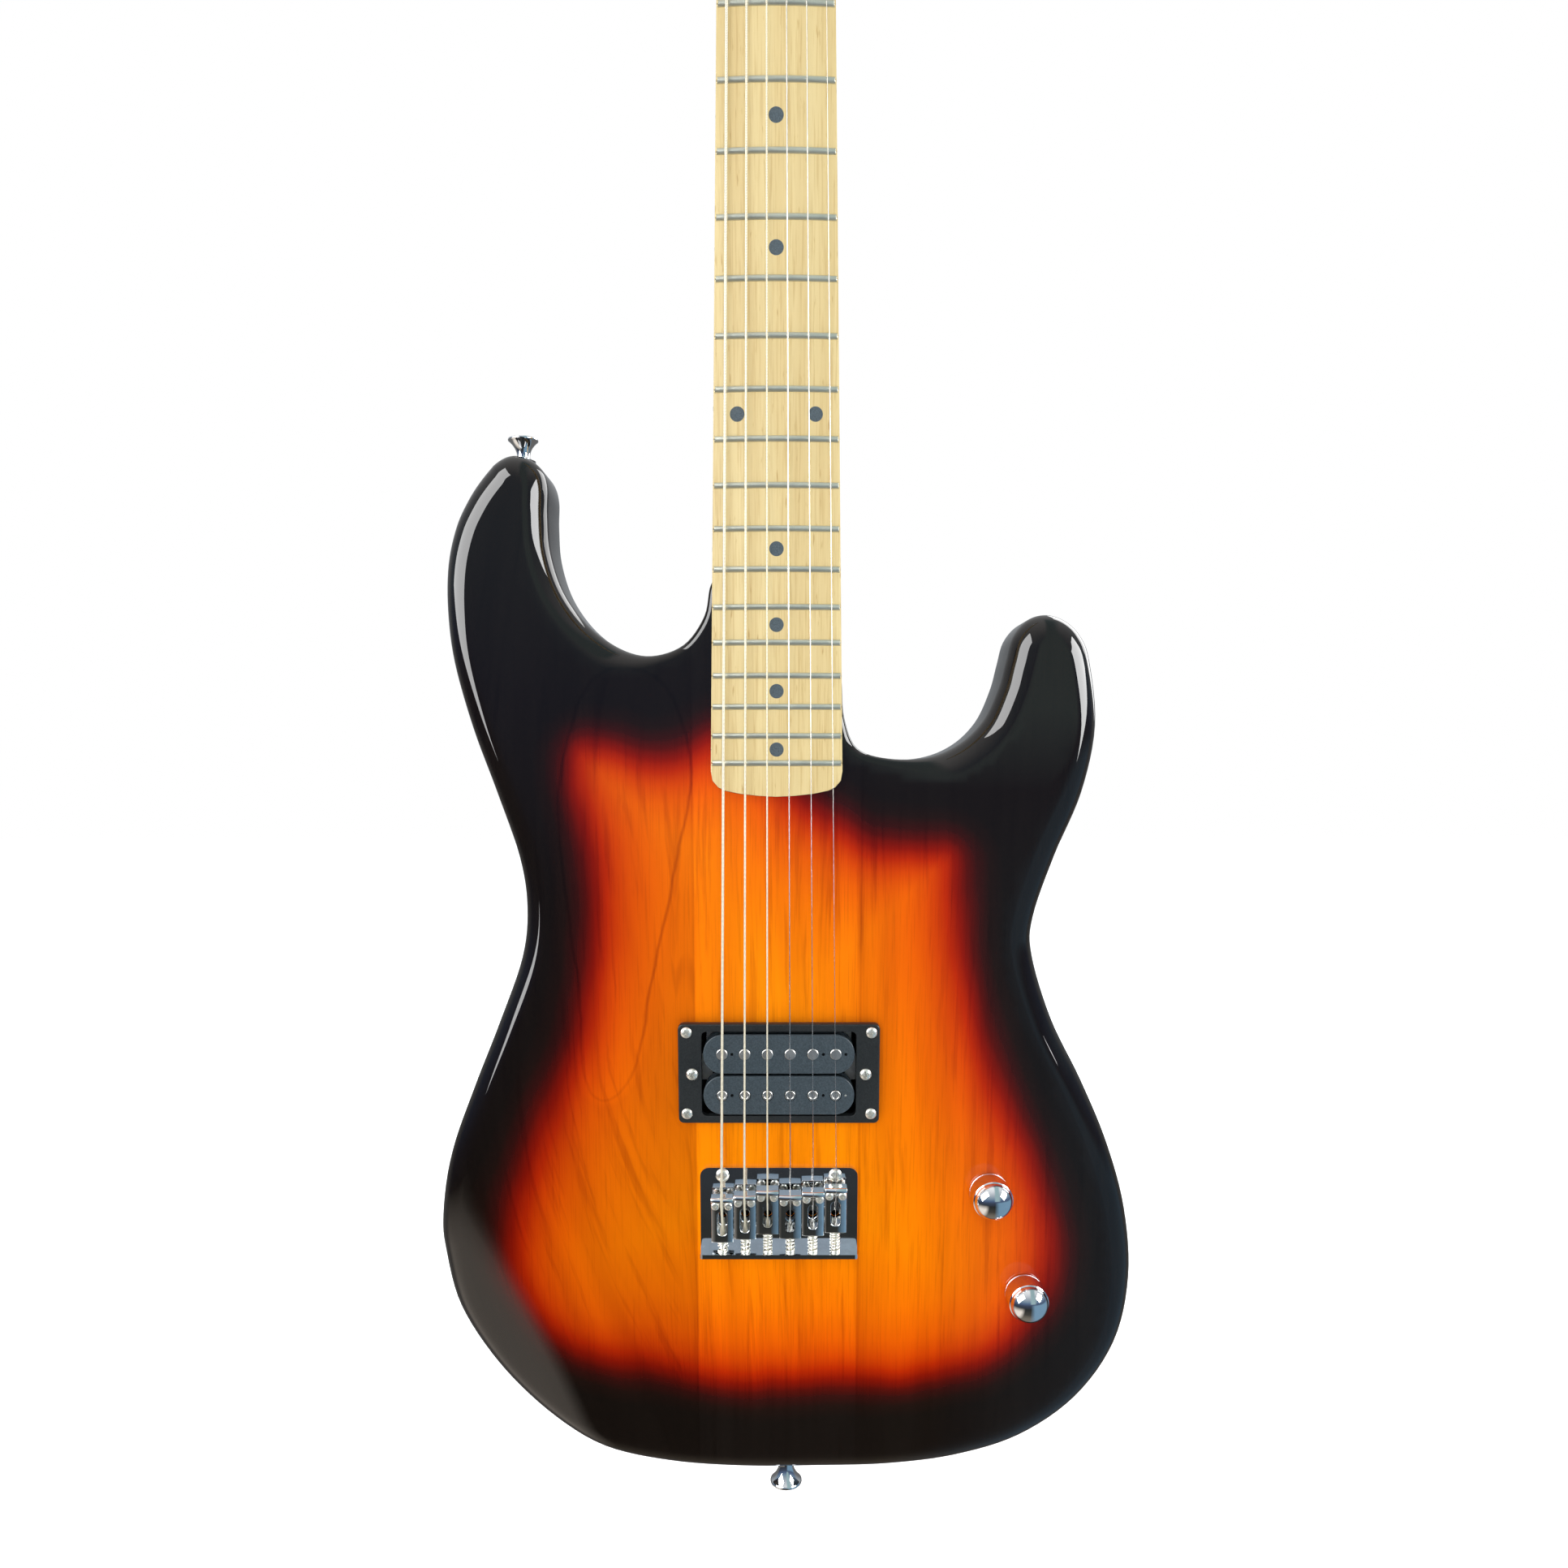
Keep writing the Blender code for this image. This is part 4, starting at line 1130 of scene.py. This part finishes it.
def make_coils():
    for name, side in (("neck", 1), ("bridge", -1)):
        z = PICKUP_Z + side * BOBBIN_STEP / 2
        half = BOBBIN_SIZE[1] / 2
        outline = rounded_rectangle((HARDWARE_X, z), BOBBIN_SIZE, half - 0.3, 16)
        small = (-20.0, 20.7, COIL_PIN_X) if side > 0 else (-20.0, 20.7)
        holes = [bore(0.7, x, z, 0, 8) for x in small]
        poles_x = [HARDWARE_X + POLE_PITCH * (k - 2.5) for k in range(STRING_COUNT)]
        holes += [bore(2.62, x, z, 0, 8) for x in poles_x]
        top = slab(outline, "Y", BOBBIN_TOP, 5.6, 0.55, 4, 0.2)
        piece(f"{name}_bobbin_top", top, "bobbin", removed=[merged(*holes)], smooth=38,
              body="pickup", stands_for=(f"{name}_side_coil",))
        piece(f"{name}_bobbin_foot", slab(grown(outline, -0.1), "Y", 12.9, 14.1, 0.3), "bobbin",
              body="pickup")
        winding = [grown(outline, -1.4 + 0.25 * math.sin(2.4 * k)) for k in range(8)]
        rings = [[placed(p, "Y", 5.4 + 7.6 * k / 7) for p in ring]
                 for k, ring in enumerate(winding)]
        piece(f"{name}_winding", loft(rings), "tape", body="pickup", smooth=60)
        for k, x in enumerate(poles_x, 1):
            top_y = BOBBIN_TOP - 0.45
            if side > 0:
                profile = ((0, 10), (2.5, 10), (2.5, 0.3), (2.2, 0.02), (0, 0))
            else:
                profile = ((0, 10), (2.3, 10), (2.3, 0.25), (2.05, 0.0), (1.6, 0.02),
                           (1.35, 0.3), (0, 0.34))
            piece(f"{name}_pole_{k}", turned(profile, (x, top_y, z), TO_BACK, 36), "pole",
                  body="pickup")
    piece("bobbin_pin", turned(((0, 0), (0.4, 0.1), (0.55, 0.4), (0.55, 2), (0, 2)),
                               (COIL_PIN_X, BOBBIN_TOP - 0.25, PICKUP_Z - BOBBIN_STEP / 2),
                               TO_BACK, 20), "screw", body="pickup")


# ---------------------------------------------------------------- bridge
def make_bridge_plate():
    low, high = HARDWARE_X - PLATE_HALF, HARDWARE_X + PLATE_HALF
    corner = 4.0
    outline = [Vector((low, PLATE_REAR_Z)), Vector((high, PLATE_REAR_Z))]
    for side, x in ((1, high - corner), (-1, low + corner)):
        arc = [Vector((x + corner * s * side, PLATE_FRONT_Z - corner + corner * c))
               for c, s in quarter(6)[::-1]]
        outline += arc[::side]
    lip_foot = 9.2
    lip_outline = rounded_rectangle((HARDWARE_X, (LIP_TOP + lip_foot) / 2),
                                    (2 * PLATE_HALF, lip_foot - LIP_TOP), 1.6)
    lip = prism(lip_outline, "Z", PLATE_REAR_Z, PLATE_REAR_Z + LIP_THICK)
    xs = [bridge_point(i).x for i in range(STRING_COUNT)]
    holes = [bore(1.85, x, STRING_HOLE_Z, 5, 12) for x in xs]
    holes += [rod(1.5, (x, ANCHOR_Y, -680), (x, ANCHOR_Y, -670)) for x in xs]
    piece("bridge_base", prism(outline, "Y", PLATE_TOP, BODY_FRONT - 0.05), "chrome",
          added=[lip], removed=[merged(*holes)], bevel=0.45, smooth=40, bevel_steps=3,
          stands_for=("bridge_plate",))
    for number, side in enumerate((-1, 1), 1):
        screw(f"bridge_screw_{number}", (HARDWARE_X + side * BRIDGE_SPAN / 2, PLATE_TOP, -640.6),
              TO_FRONT, 3.05, 1.7, twist=0.4 + number)


def make_saddle(i):
    """A bent-steel saddle: crest in front, slotted plate, short rear flange, two screws."""
    x, axis_y, z = bridge_point(i)
    body = f"saddle_{i + 1}"
    top = axis_y + string_radius(i) + 0.06
    level, sheet = SADDLE_LEVEL, SADDLE_SHEET
    bottom = 3.2
    crest = []
    for k in range(7):
        angle = math.pi * (0.08 + 0.84 * k / 6)
        crest.append((top + 1.2 - 1.2 * math.sin(angle), 0.1 + 1.3 * math.cos(angle)))
    outer = [(bottom, 1.4)] + crest
    outer += [(-1.8, -2.2), (level - 0.4, -3.3), (level, -4.4), (level, -20.3),
              (level + 0.25, -20.95), (level + 0.9, -21.2), (4.1, -21.2)]
    inner = [(4.1, -21.2 + sheet), (level + sheet, -21.2 + sheet), (level + sheet, -4.9),
             (top + 2.2, -0.6), (top + 2.6, 0.2), (bottom, 0.2)]
    outline = [(y, z + dz) for y, dz in outer + inner]
    groove = rod(string_radius(i) + 0.05, (x, axis_y + 0.03, z - 6), (x, axis_y + 0.01, z + 6), 16)
    slot = prism(rounded_rectangle((x, z - 11.8), (4.3, 11.6), 2.1), "Y", -4, 3)
    sections = []
    for k in range(9):
        across = SADDLE_HALF * (k / 4 - 1)
        crowned = 0.5 * (across / SADDLE_HALF) ** 2
        sections.append([Vector((x + across, y + (crowned if y < 3 else 0), at))
                         for y, at in outline])
    piece(f"{body}_bent", loft(sections), "chrome", removed=[slot, groove], bevel=0.28,
          smooth=33, body=body, stands_for=(body,))
    for name, side in (("bass", -1), ("treble", 1)):
        post_x, post_z = x + side * SADDLE_POST[0], z + SADDLE_POST[1]
        post = turned(((0, 9.75), (1.0, 9.75), (1.45, 9.3), (1.45, 3.3), (1.8, 3.0),
                       (1.8, 0.45), (1.55, 0.12), (1.2, 0.0), (0, -0.05)),
                      (post_x, -2.9, post_z), TO_BACK, 28)
        hexagon = bore(0.85, post_x, post_z, -5, -1.7, 6)
        piece(f"{body}_screw_{name}", post, "screw", removed=[hexagon], smooth=35, body=body,
              weighted=False)


def make_intonation(i):
    """The adjusting screw through the lip, and the spring that pushes its saddle forward."""
    x, _, z = bridge_point(i)
    head = (x, INTONATION_Y, PLATE_REAR_Z)
    screw(f"intonation_screw_{i + 1}", head, (0, 0, -1), 2.2, 1.6, twist=0.35 * i,
          shank=abs(PLATE_REAR_Z - (z - 18.4)))
    start = Vector((x, INTONATION_Y, PLATE_REAR_Z + LIP_THICK + 0.3))
    end = Vector((x, INTONATION_Y, z - 21.5))
    coil = helix(start, end, 1.9, turns=max(3.5, (end - start).length / 1.05))
    stretched_piece(f"saddle_spring_{i + 1}", spring_bmesh(coil), "screw")


# ---------------------------------------------------------------- strings
def string_route(i):
    """From behind the lip, over the saddle and the nut, to the winding on the post."""
    radius = string_radius(i)
    crest, nut = bridge_point(i), nut_point(i)
    route = [Vector((crest.x, ANCHOR_Y, PLATE_REAR_Z - 0.4)),
             Vector((crest.x, ANCHOR_Y, crest.z - 20)),
             Vector((crest.x, 4.6, crest.z - 16.5)), Vector((crest.x, 3.2, crest.z - 13.4)),
             crest + Vector((0, 0.9, -3.2)), crest + Vector((0, 0.12, -1.2)),
             crest + Vector((0, 0, 0.6)), crest.lerp(nut, 0.5), nut + Vector((0, 0, -0.6)),
             nut + Vector((0, 0.05, 0.8))]
    post = post_place(i)
    around = POST_WAIST + 0.1 + radius
    pitch = 2 * radius + 0.1
    first_y = 2.6 - pitch * WRAP_TURNS / 2
    if i >= STRING_COUNT - 2:   # the string tree holds the two thinnest
        route.append(Vector((nut.x + (TREE_X - nut.x) * 0.08, 2.35 + radius, TREE_Z)))
    steps = 24                  # for each turn round the post
    for k in range(int(WRAP_TURNS * steps) + 1):
        angle = 2 * math.pi * k / steps
        route.append(post + Vector((around * math.cos(angle), first_y + pitch * k / steps,
                                    around * math.sin(angle))))
    return route


def make_string(i):
    """The run from saddle to post, the tail behind the saddle, and the tail's twisted lock."""
    look = "wound" if i < WOUND_COUNT else "plain"
    saddle, radius = f"saddle_{i + 1}", string_radius(i)
    route = string_route(i)
    crest = 6                   # the route's point where the string leaves the saddle
    # The twisted lock at the ball end is thicker than the string itself.
    lock = [route[0].lerp(route[1], k / 14) for k in range(14)] + route[1:4]
    thick = [(0.42 + radius * 1.15) * (1 + 0.09 * math.sin(2.1 * k)) for k in range(16)]
    run, tail = route[crest:], route[:crest + 1]
    for name, path, radii, fixed in (("run", run, [radius] * len(run), nut_point(i)),
                                     ("tail", tail, [radius] * len(tail), route[0]),
                                     ("lock", lock, thick + [radius], route[0])):
        obj = stretched_piece(f"string_{i + 1}_{name}", tube(path, radii, 14), look,
                              smooth=70)
        if name == "run":
            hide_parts(f"string_{i + 1}")
    ball = Vector((bridge_point(i).x, ANCHOR_Y, PLATE_REAR_Z - 1.6))
    barrel = turned(((0.55, -1.5), (1.55, -1.5), (1.75, -1.2), (1.35, -0.3), (1.35, 0.3),
                     (1.75, 1.2), (1.55, 1.5), (0.55, 1.5)), ball, TO_TREBLE, 24)
    piece(f"ball_end_{i + 1}", barrel, "brass", smooth=50)


# ---------------------------------------------------------------- controls
def knob_bmesh(x, z):
    """Barrel knob: finely knurled skirt, a narrow step, and a mirror dome.

    A row has a radius, a height as y, and whether it is knurled.
    """
    segments, ridges = 288, 72
    rows = [(5.6, 9.0, 0), (8.55, 9.0, 0), (8.85, 8.7, 0), (8.9, 8.2, 0), (8.7, 8.1, 1),
            (8.7, -1.9, 1), (8.9, -2.0, 0), (8.95, -2.5, 0), (8.7, -2.8, 0), (8.55, -2.9, 0)]
    rows += [(8.5 * c, -2.9 - 6.1 * s, 0) for c, s in quarter(12)[:-1]]
    bm = bmesh.new()
    rings = []
    for radius, y, knurled in rows:
        ring = []
        for k, (c, s) in enumerate(circle(segments)):
            r = radius + (0.26 * (1, 0.5, 0, 0.5)[k % (segments // ridges)] if knurled else 0)
            ring.append(bm.verts.new((x + r * c, y, z + r * s)))
        rings.append(ring)
    skin(bm, rings)
    tip = bm.verts.new((x, -9.0, z))
    for k in range(segments):
        bm.faces.new((rings[-1][k], rings[-1][(k + 1) % segments], tip))
    return sealed(bm, rings[0])


def make_controls():
    for name, (x, z) in KNOBS.items():
        piece(f"{name}_dome", knob_bmesh(x, z), "chrome", smooth=42, body=f"{name}_knob",
              stands_for=(f"{name}_knob",), weighted=False)
        washer = turned(((3.6, 9.45), (6.9, 9.45), (6.9, 9.25), (3.6, 9.25)), (x, 0, z),
                        TO_BACK, 40)
        piece(f"{name}_washer", washer, "steel")
    cover = grown(smooth_loop(CONTROL_CAVITY, 6), 5.6)
    piece("back_cover", slab(cover, "Y", BODY_BACK - 1.6, BODY_BACK - 0.05, 0.4), "cover",
          stands_for=("control_cover",))
    rim = grown(smooth_loop(CONTROL_CAVITY, 1), 3.0)
    for number, k in enumerate((0, 2, 4, 6, 8), 1):
        screw(f"cover_screw_{number}", (rim[k].x, BODY_BACK - 0.1, rim[k].y), TO_BACK, 2.1, 0.5,
              twist=0.7 * number)


def make_neck_joint():
    places = neck_screw_places()
    plate = slab(rounded_rectangle((0, -435), (48, 60), 5, 8), "Y", BODY_BACK + 0.05,
                 BODY_BACK + 1.9, 0.5, 4)
    piece("joint_plate", plate, "chrome", removed=[merged(*(
        bore(2.5, x, z, 50, 58) for x, z in places))], smooth=38,
        stands_for=("neck_plate",))
    for number, (x, z) in enumerate(places, 1):
        screw(f"joint_screw_{number}", (x, BODY_BACK + 1.9, z), TO_BACK, 4.3, 2.3,
              twist=0.8 * number, shank=30, stands_for=(f"neck_screw_{number}",))


def make_jack():
    seat = JACK_SEAT_X + 0.05
    flat = rounded_rectangle((BODY_MIDDLE, JACK_Z), (21, 34), 7, 8)
    plate = slab(flat, "X", seat, seat + 1.75, 0.4, 4)
    piece("output_plate", plate, "chrome", smooth=38, removed=[
        rod(JACK_BORE, (150, BODY_MIDDLE, JACK_Z), (180, BODY_MIDDLE, JACK_Z))],
        stands_for=("jack_plate",))
    for number, side in enumerate((-1, 1), 1):
        screw(f"output_screw_{number}", (seat + 1.7, BODY_MIDDLE, JACK_Z + side * 13), TO_TREBLE,
              2.0, 0.9, twist=number)
    start = (seat + 1.8, BODY_MIDDLE, JACK_Z)
    nut = turned(((4.6, 0), (6.6, 0), (6.6, 1.6), (6.1, 2.0), (4.6, 2.0)), start, TO_TREBLE, 6)
    piece("output_nut", nut, "steel", bevel=0.2, smooth=30)
    sleeve = turned(((3.3, -28), (4.6, -28), (4.6, 2.3), (4.3, 2.6), (3.5, 2.6), (3.3, 2.3)),
                    start, TO_TREBLE, 40)
    piece("output_sleeve", sleeve, "steel", stands_for=("jack_socket",))


def make_strap_buttons():
    places = (("upper", (-110.3, BODY_MIDDLE, -325.6), 1, 13.0, 10.0),
              ("lower", (4.3, 27.5, -790.6), -1, 15.5, 15.0))
    for name, base, way, wide, tall in places:
        r = wide / 2
        profile = [(0, 0), (0.62 * r, 0), (0.66 * r, 0.04 * tall), (0.62 * r, 0.09 * tall)]
        for k in range(7):
            share = k / 6
            profile.append((r * (0.42 + 0.5 * share ** 2.2), tall * (0.2 + 0.66 * share)))
        profile += [(r * 0.99, 0.89 * tall), (r, 0.93 * tall), (r * 0.97, 0.97 * tall),
                    (0.84 * r, tall), (0.5 * r, 0.995 * tall), (0.42 * r, 0.93 * tall),
                    (0, 0.93 * tall)]
        piece(f"strap_pin_{name}", turned(profile, base, (0, 0, way), 48), "chrome", smooth=50,
              stands_for=(f"strap_button_{name}",), weighted=False)
        piece(f"strap_felt_{name}", turned(((0.2 * r, -0.5), (0.8 * r, -0.5), (0.8 * r, 0.5),
                                            (0.2 * r, 0.5)), base, (0, 0, way), 40), "felt")
        seat = Vector(base) + Vector((0, 0, way * 0.93 * tall))
        screw(f"strap_screw_{name}", seat, (0, 0, way), 0.38 * r, 0.06 * tall + 0.2, twist=0.6)


# ---------------------------------------------------------------- headstock
def make_tuner(i):
    """Gear case and foot with two screws, slotted post in its bushing, and key."""
    into = tuner_frame(i)
    place = post_place(i)
    worm_y, worm_z = 27.2, 7.4

    def local(bm):
        bm.transform(into)
        return bm

    shell = slab(rounded_rectangle((TUNER_MIDDLE, 2.0), (16.5, 18.0), 3.2), "Y",
                 HEAD_BACK - 1.5, HEAD_BACK + 11.0, 1.9, 5)
    piece(f"gear_case_{i + 1}", local(shell), "chrome", smooth=40,
          kept=[local(box((-20, HEAD_BACK + 0.05, -20), (20, HEAD_BACK + 20, 20)))],
          stands_for=(f"tuner_housing_{i + 1}",))
    foot = slab(rounded_rectangle((TUNER_MIDDLE, 2.0), (15.0, 24.0), 2.6), "Y",
                HEAD_BACK + 0.05, HEAD_BACK + 1.3, 0.3)
    piece(f"gear_foot_{i + 1}", local(foot), "chrome", smooth=40)
    for number, dz in enumerate((-8.6, 12.6), 1):
        spot = into @ Vector((TUNER_MIDDLE, HEAD_BACK + 1.2, dz))
        screw(f"case_screw_{i + 1}_{number}", spot, TO_BACK, 1.35, 0.7, twist=0.5 * i + number)
    post = ((0, -2.9), (1.4, -2.9), (2.6, -2.9), (3.0, -2.5), (3.0, -0.3), (2.85, 0.1),
            (POST_WAIST, 0.7), (POST_WAIST, 4.5), (2.85, 5.1), (3.0, 5.5), (3.0, 20), (0, 20))
    piece(f"post_{i + 1}_string", turned(post, place, TO_BACK, 40), "chrome", smooth=40,
          removed=[box((place.x - 0.5, -5, place.z - 5), (place.x + 0.5, 1.2, place.z + 5))],
          body=f"tuner_post_{i + 1}", stands_for=(f"tuner_post_{i + 1}",))
    bushing = turned(((3.15, HEAD_FACE - 1.1), (4.4, HEAD_FACE - 1.1), (5.2, HEAD_FACE - 0.7),
                      (5.4, HEAD_FACE - 0.05), (3.15, HEAD_FACE - 0.05)), place, TO_BACK, 40)
    piece(f"bushing_{i + 1}", bushing, "chrome", smooth=40)
    axle = turned(((0, 6), (1.9, 6), (1.9, 9.8), (1.5, 10), (1.5, 11.6), (2.6, 12.0),
                   (2.75, 12.6), (2.6, 13.3), (1.8, 14.0), (1.7, 18), (0, 18)),
                  (0, worm_y, worm_z), TO_TREBLE, 32)
    piece(f"key_{i + 1}_axle", local(axle), "chrome", smooth=45, body=f"tuner_key_{i + 1}",
          stands_for=(f"tuner_key_{i + 1}",))
    waist = []
    for p in rounded_rectangle((22.3, worm_z), (14, 18), 6.4, 8):
        pinch = 1 - 0.10 * math.exp(-((p.x - 17.2) / 2.6) ** 2)
        waist.append(Vector((p.x, worm_z + (p.y - worm_z) * pinch)))
    button = slab(waist, "Y", worm_y - 3.4, worm_y + 3.4, 2.6, 6)
    piece(f"key_{i + 1}_button", local(button), "chrome", smooth=45, body=f"tuner_key_{i + 1}")


def make_string_tree():
    """A bar on a post, which holds the two thinnest strings down."""
    bar = slab(rounded_rectangle((TREE_X, TREE_Z), (10.2, 3.2), 1.2), "Y", 1.0, 2.2, 0.4)
    piece("tree_bar", bar, "chrome", stands_for=("string_tree",), smooth=45)
    piece("tree_post", bore(1.5, TREE_X, TREE_Z, 2.1, HEAD_FACE), "chrome")
    screw("tree_screw", (TREE_X, 1.0, TREE_Z), TO_FRONT, 1.7, 0.9, twist=0.4)


# ---------------------------------------------------------------- CAD nodes that stay
def dress_frame_nodes():
    stays = {"truss_rod": "steel", "pickup_magnet": "socket", "pickup_baseplate": "screw",
             "volume_pot": "steel", "tone_pot": "steel", "volume_shaft": "steel",
             "tone_shaft": "steel"}
    for name, look in stays.items():
        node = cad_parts[name]
        node.data.materials.clear()
        node.data.materials.append(LOOKS[look][0])


# ---------------------------------------------------------------- stage
def area_light(name, place, aim, size, power):
    data = bpy.data.lights.new(name, "AREA")
    data.shape = "RECTANGLE"
    data.size, data.size_y = size
    data.energy = power
    lamp = bpy.data.objects.new(name, data)
    lamp.location = place
    lamp.rotation_euler = (Vector(aim) - Vector(place)).to_track_quat("-Z", "Z").to_euler()
    bpy.context.collection.objects.link(lamp)
    return lamp


def make_world():
    """What the gloss reflects: dark in front, pale above, and a wall behind, paler higher up.

    There is also a blue card low on the right, a warm floor low on the left, and a blue-green
    patch just above the horizon on the right. The camera itself sees plain white.
    """
    world = bpy.data.worlds.new("studio")
    bpy.context.scene.world = world
    world.use_nodes = True
    sky = NodeTree(world.node_tree)
    split = sky.node("ShaderNodeSeparateXYZ")
    sky.link(sky.node("ShaderNodeTexCoord").outputs["Generated"], split.inputs[0])
    x, y, z = (split.outputs[axis] for axis in "XYZ")
    height = sky.remap(z, -1, 1, 0, 1)
    light = sky.ramp(height, (
        (0.0, (0.22, 0.19, 0.15)), (0.12, (0.07, 0.065, 0.055)), (0.3, (0.03, 0.032, 0.03)),
        (0.44, (0.055, 0.07, 0.11)), (0.53, (0.1, 0.15, 0.26)), (0.6, (0.2, 0.29, 0.38)),
        (0.75, (0.45, 0.5, 0.55)), (1.0, (1.0, 1.0, 1.0))))
    low = sky.remap(z, -0.02, -0.12, 0, 1)
    card = sky.times(sky.remap(x, 0.12, 0.4, 0, 1), low)
    light = sky.mix(card, light, (0.2, 0.34, 0.47))
    floor = sky.times(sky.remap(x, -0.28, -0.5, 0, 1), sky.remap(z, -0.3, -0.62, 0, 1))
    light = sky.mix(floor, light, (0.98, 0.88, 0.77))
    patch = sky.times(sky.remap(x, 0.04, 0.16, 0, 1), sky.remap(z, -0.02, 0.05, 0, 1))
    light = sky.mix(sky.times(patch, sky.remap(x, 0.55, 0.4, 0, 1)), light,
                    (0.36, 0.5, 0.52))
    wall = sky.ramp(height, ((0.0, (0.16, 0.15, 0.14)), (0.44, (0.16, 0.16, 0.16)),
                             (0.56, (0.3, 0.32, 0.34)), (1.0, (0.9, 0.9, 0.9))))
    light = sky.mix(sky.remap(y, 0.12, 0.4, 0, 1), light, wall)
    seen = sky.mix(sky.node("ShaderNodeLightPath").outputs["Is Camera Ray"], light, (1, 1, 1))
    sky.link(seen, world.node_tree.nodes["Background"].inputs["Color"])


def make_floor():
    """A pale sheet of paper. It throws no shadow on the guitar, and the gloss doesn't show it."""
    bm = bmesh.new()
    bmesh.ops.create_grid(bm, x_segments=8, y_segments=8, size=6000)
    for vertex in bm.verts:
        vertex.co.z = -870
    floor = raw_object("studio_floor", bm)
    look = Surface("floor_paper", 0.9, Emission_Color=(1, 1, 1, 1), Emission_Strength=0.8)
    cloud = look.noise(3, 2)
    look.colour(look.ramp(cloud, ((0.3, (0.76, 0.76, 0.76)), (0.7, (0.8, 0.8, 0.8)))))
    floor.data.materials.append(look.material)
    floor.visible_glossy = floor.visible_shadow = False


def make_camera():
    """The photograph's view, fitted to the frets and the body's outline."""
    tilt = 8.065                # degrees below level
    data = bpy.data.cameras.new("camera")
    data.sensor_width = 36
    data.sensor_fit = "HORIZONTAL"
    data.lens = 25.923
    data.shift_x, data.shift_y = 0.0012, 0.0912
    camera = bpy.data.objects.new("camera", data)
    camera.location = (0.00235, -0.485, -0.45695)
    camera.rotation_euler = (math.radians(90 - tilt), 0, 0)
    bpy.context.collection.objects.link(camera)
    bpy.context.scene.camera = camera


def make_stage():
    scene = bpy.context.scene
    scene.view_settings.view_transform = "Standard"
    make_world()
    make_floor()
    middle = (0, 0, -0.52)
    fill = area_light("front_light", (-0.4, -1.9, 0.2), middle, (2.2, 1.4), 21.6)
    fill.visible_glossy = False
    back = area_light("back_light", (0, 1.3, 0.3), middle, (1.6, 1.0), 16)
    back.visible_glossy = False
    cards = (("left_card", (-0.95, -0.68, 0.0), (-0.135, 0, -0.34), (1.12, 0.92), 30),
             ("right_card", (1.08, -0.5, -0.11), (0.14, 0, -0.4), (0.55, 1.0), 24),
             ("wall_card", (1.1, 1.0, 0.35), (-0.1, 0, -0.35), (1.3, 0.9), 17))
    for name, place, aim, size, power in cards:
        card = area_light(name, place, aim, size, power)
        card.visible_diffuse = card.visible_camera = False


# ---------------------------------------------------------------- the guitar
LOOKS = make_looks()
make_camera()
make_stage()
make_body()
make_neck()
make_fingerboard()
make_frets()
make_dots()
make_nut()
make_neck_joint()
make_ring()
make_coils()
make_bridge_plate()
make_controls()
make_jack()
make_strap_buttons()
make_string_tree()
for index in range(STRING_COUNT):
    make_saddle(index)
    make_intonation(index)
    make_string(index)
    make_tuner(index)
dress_frame_nodes()
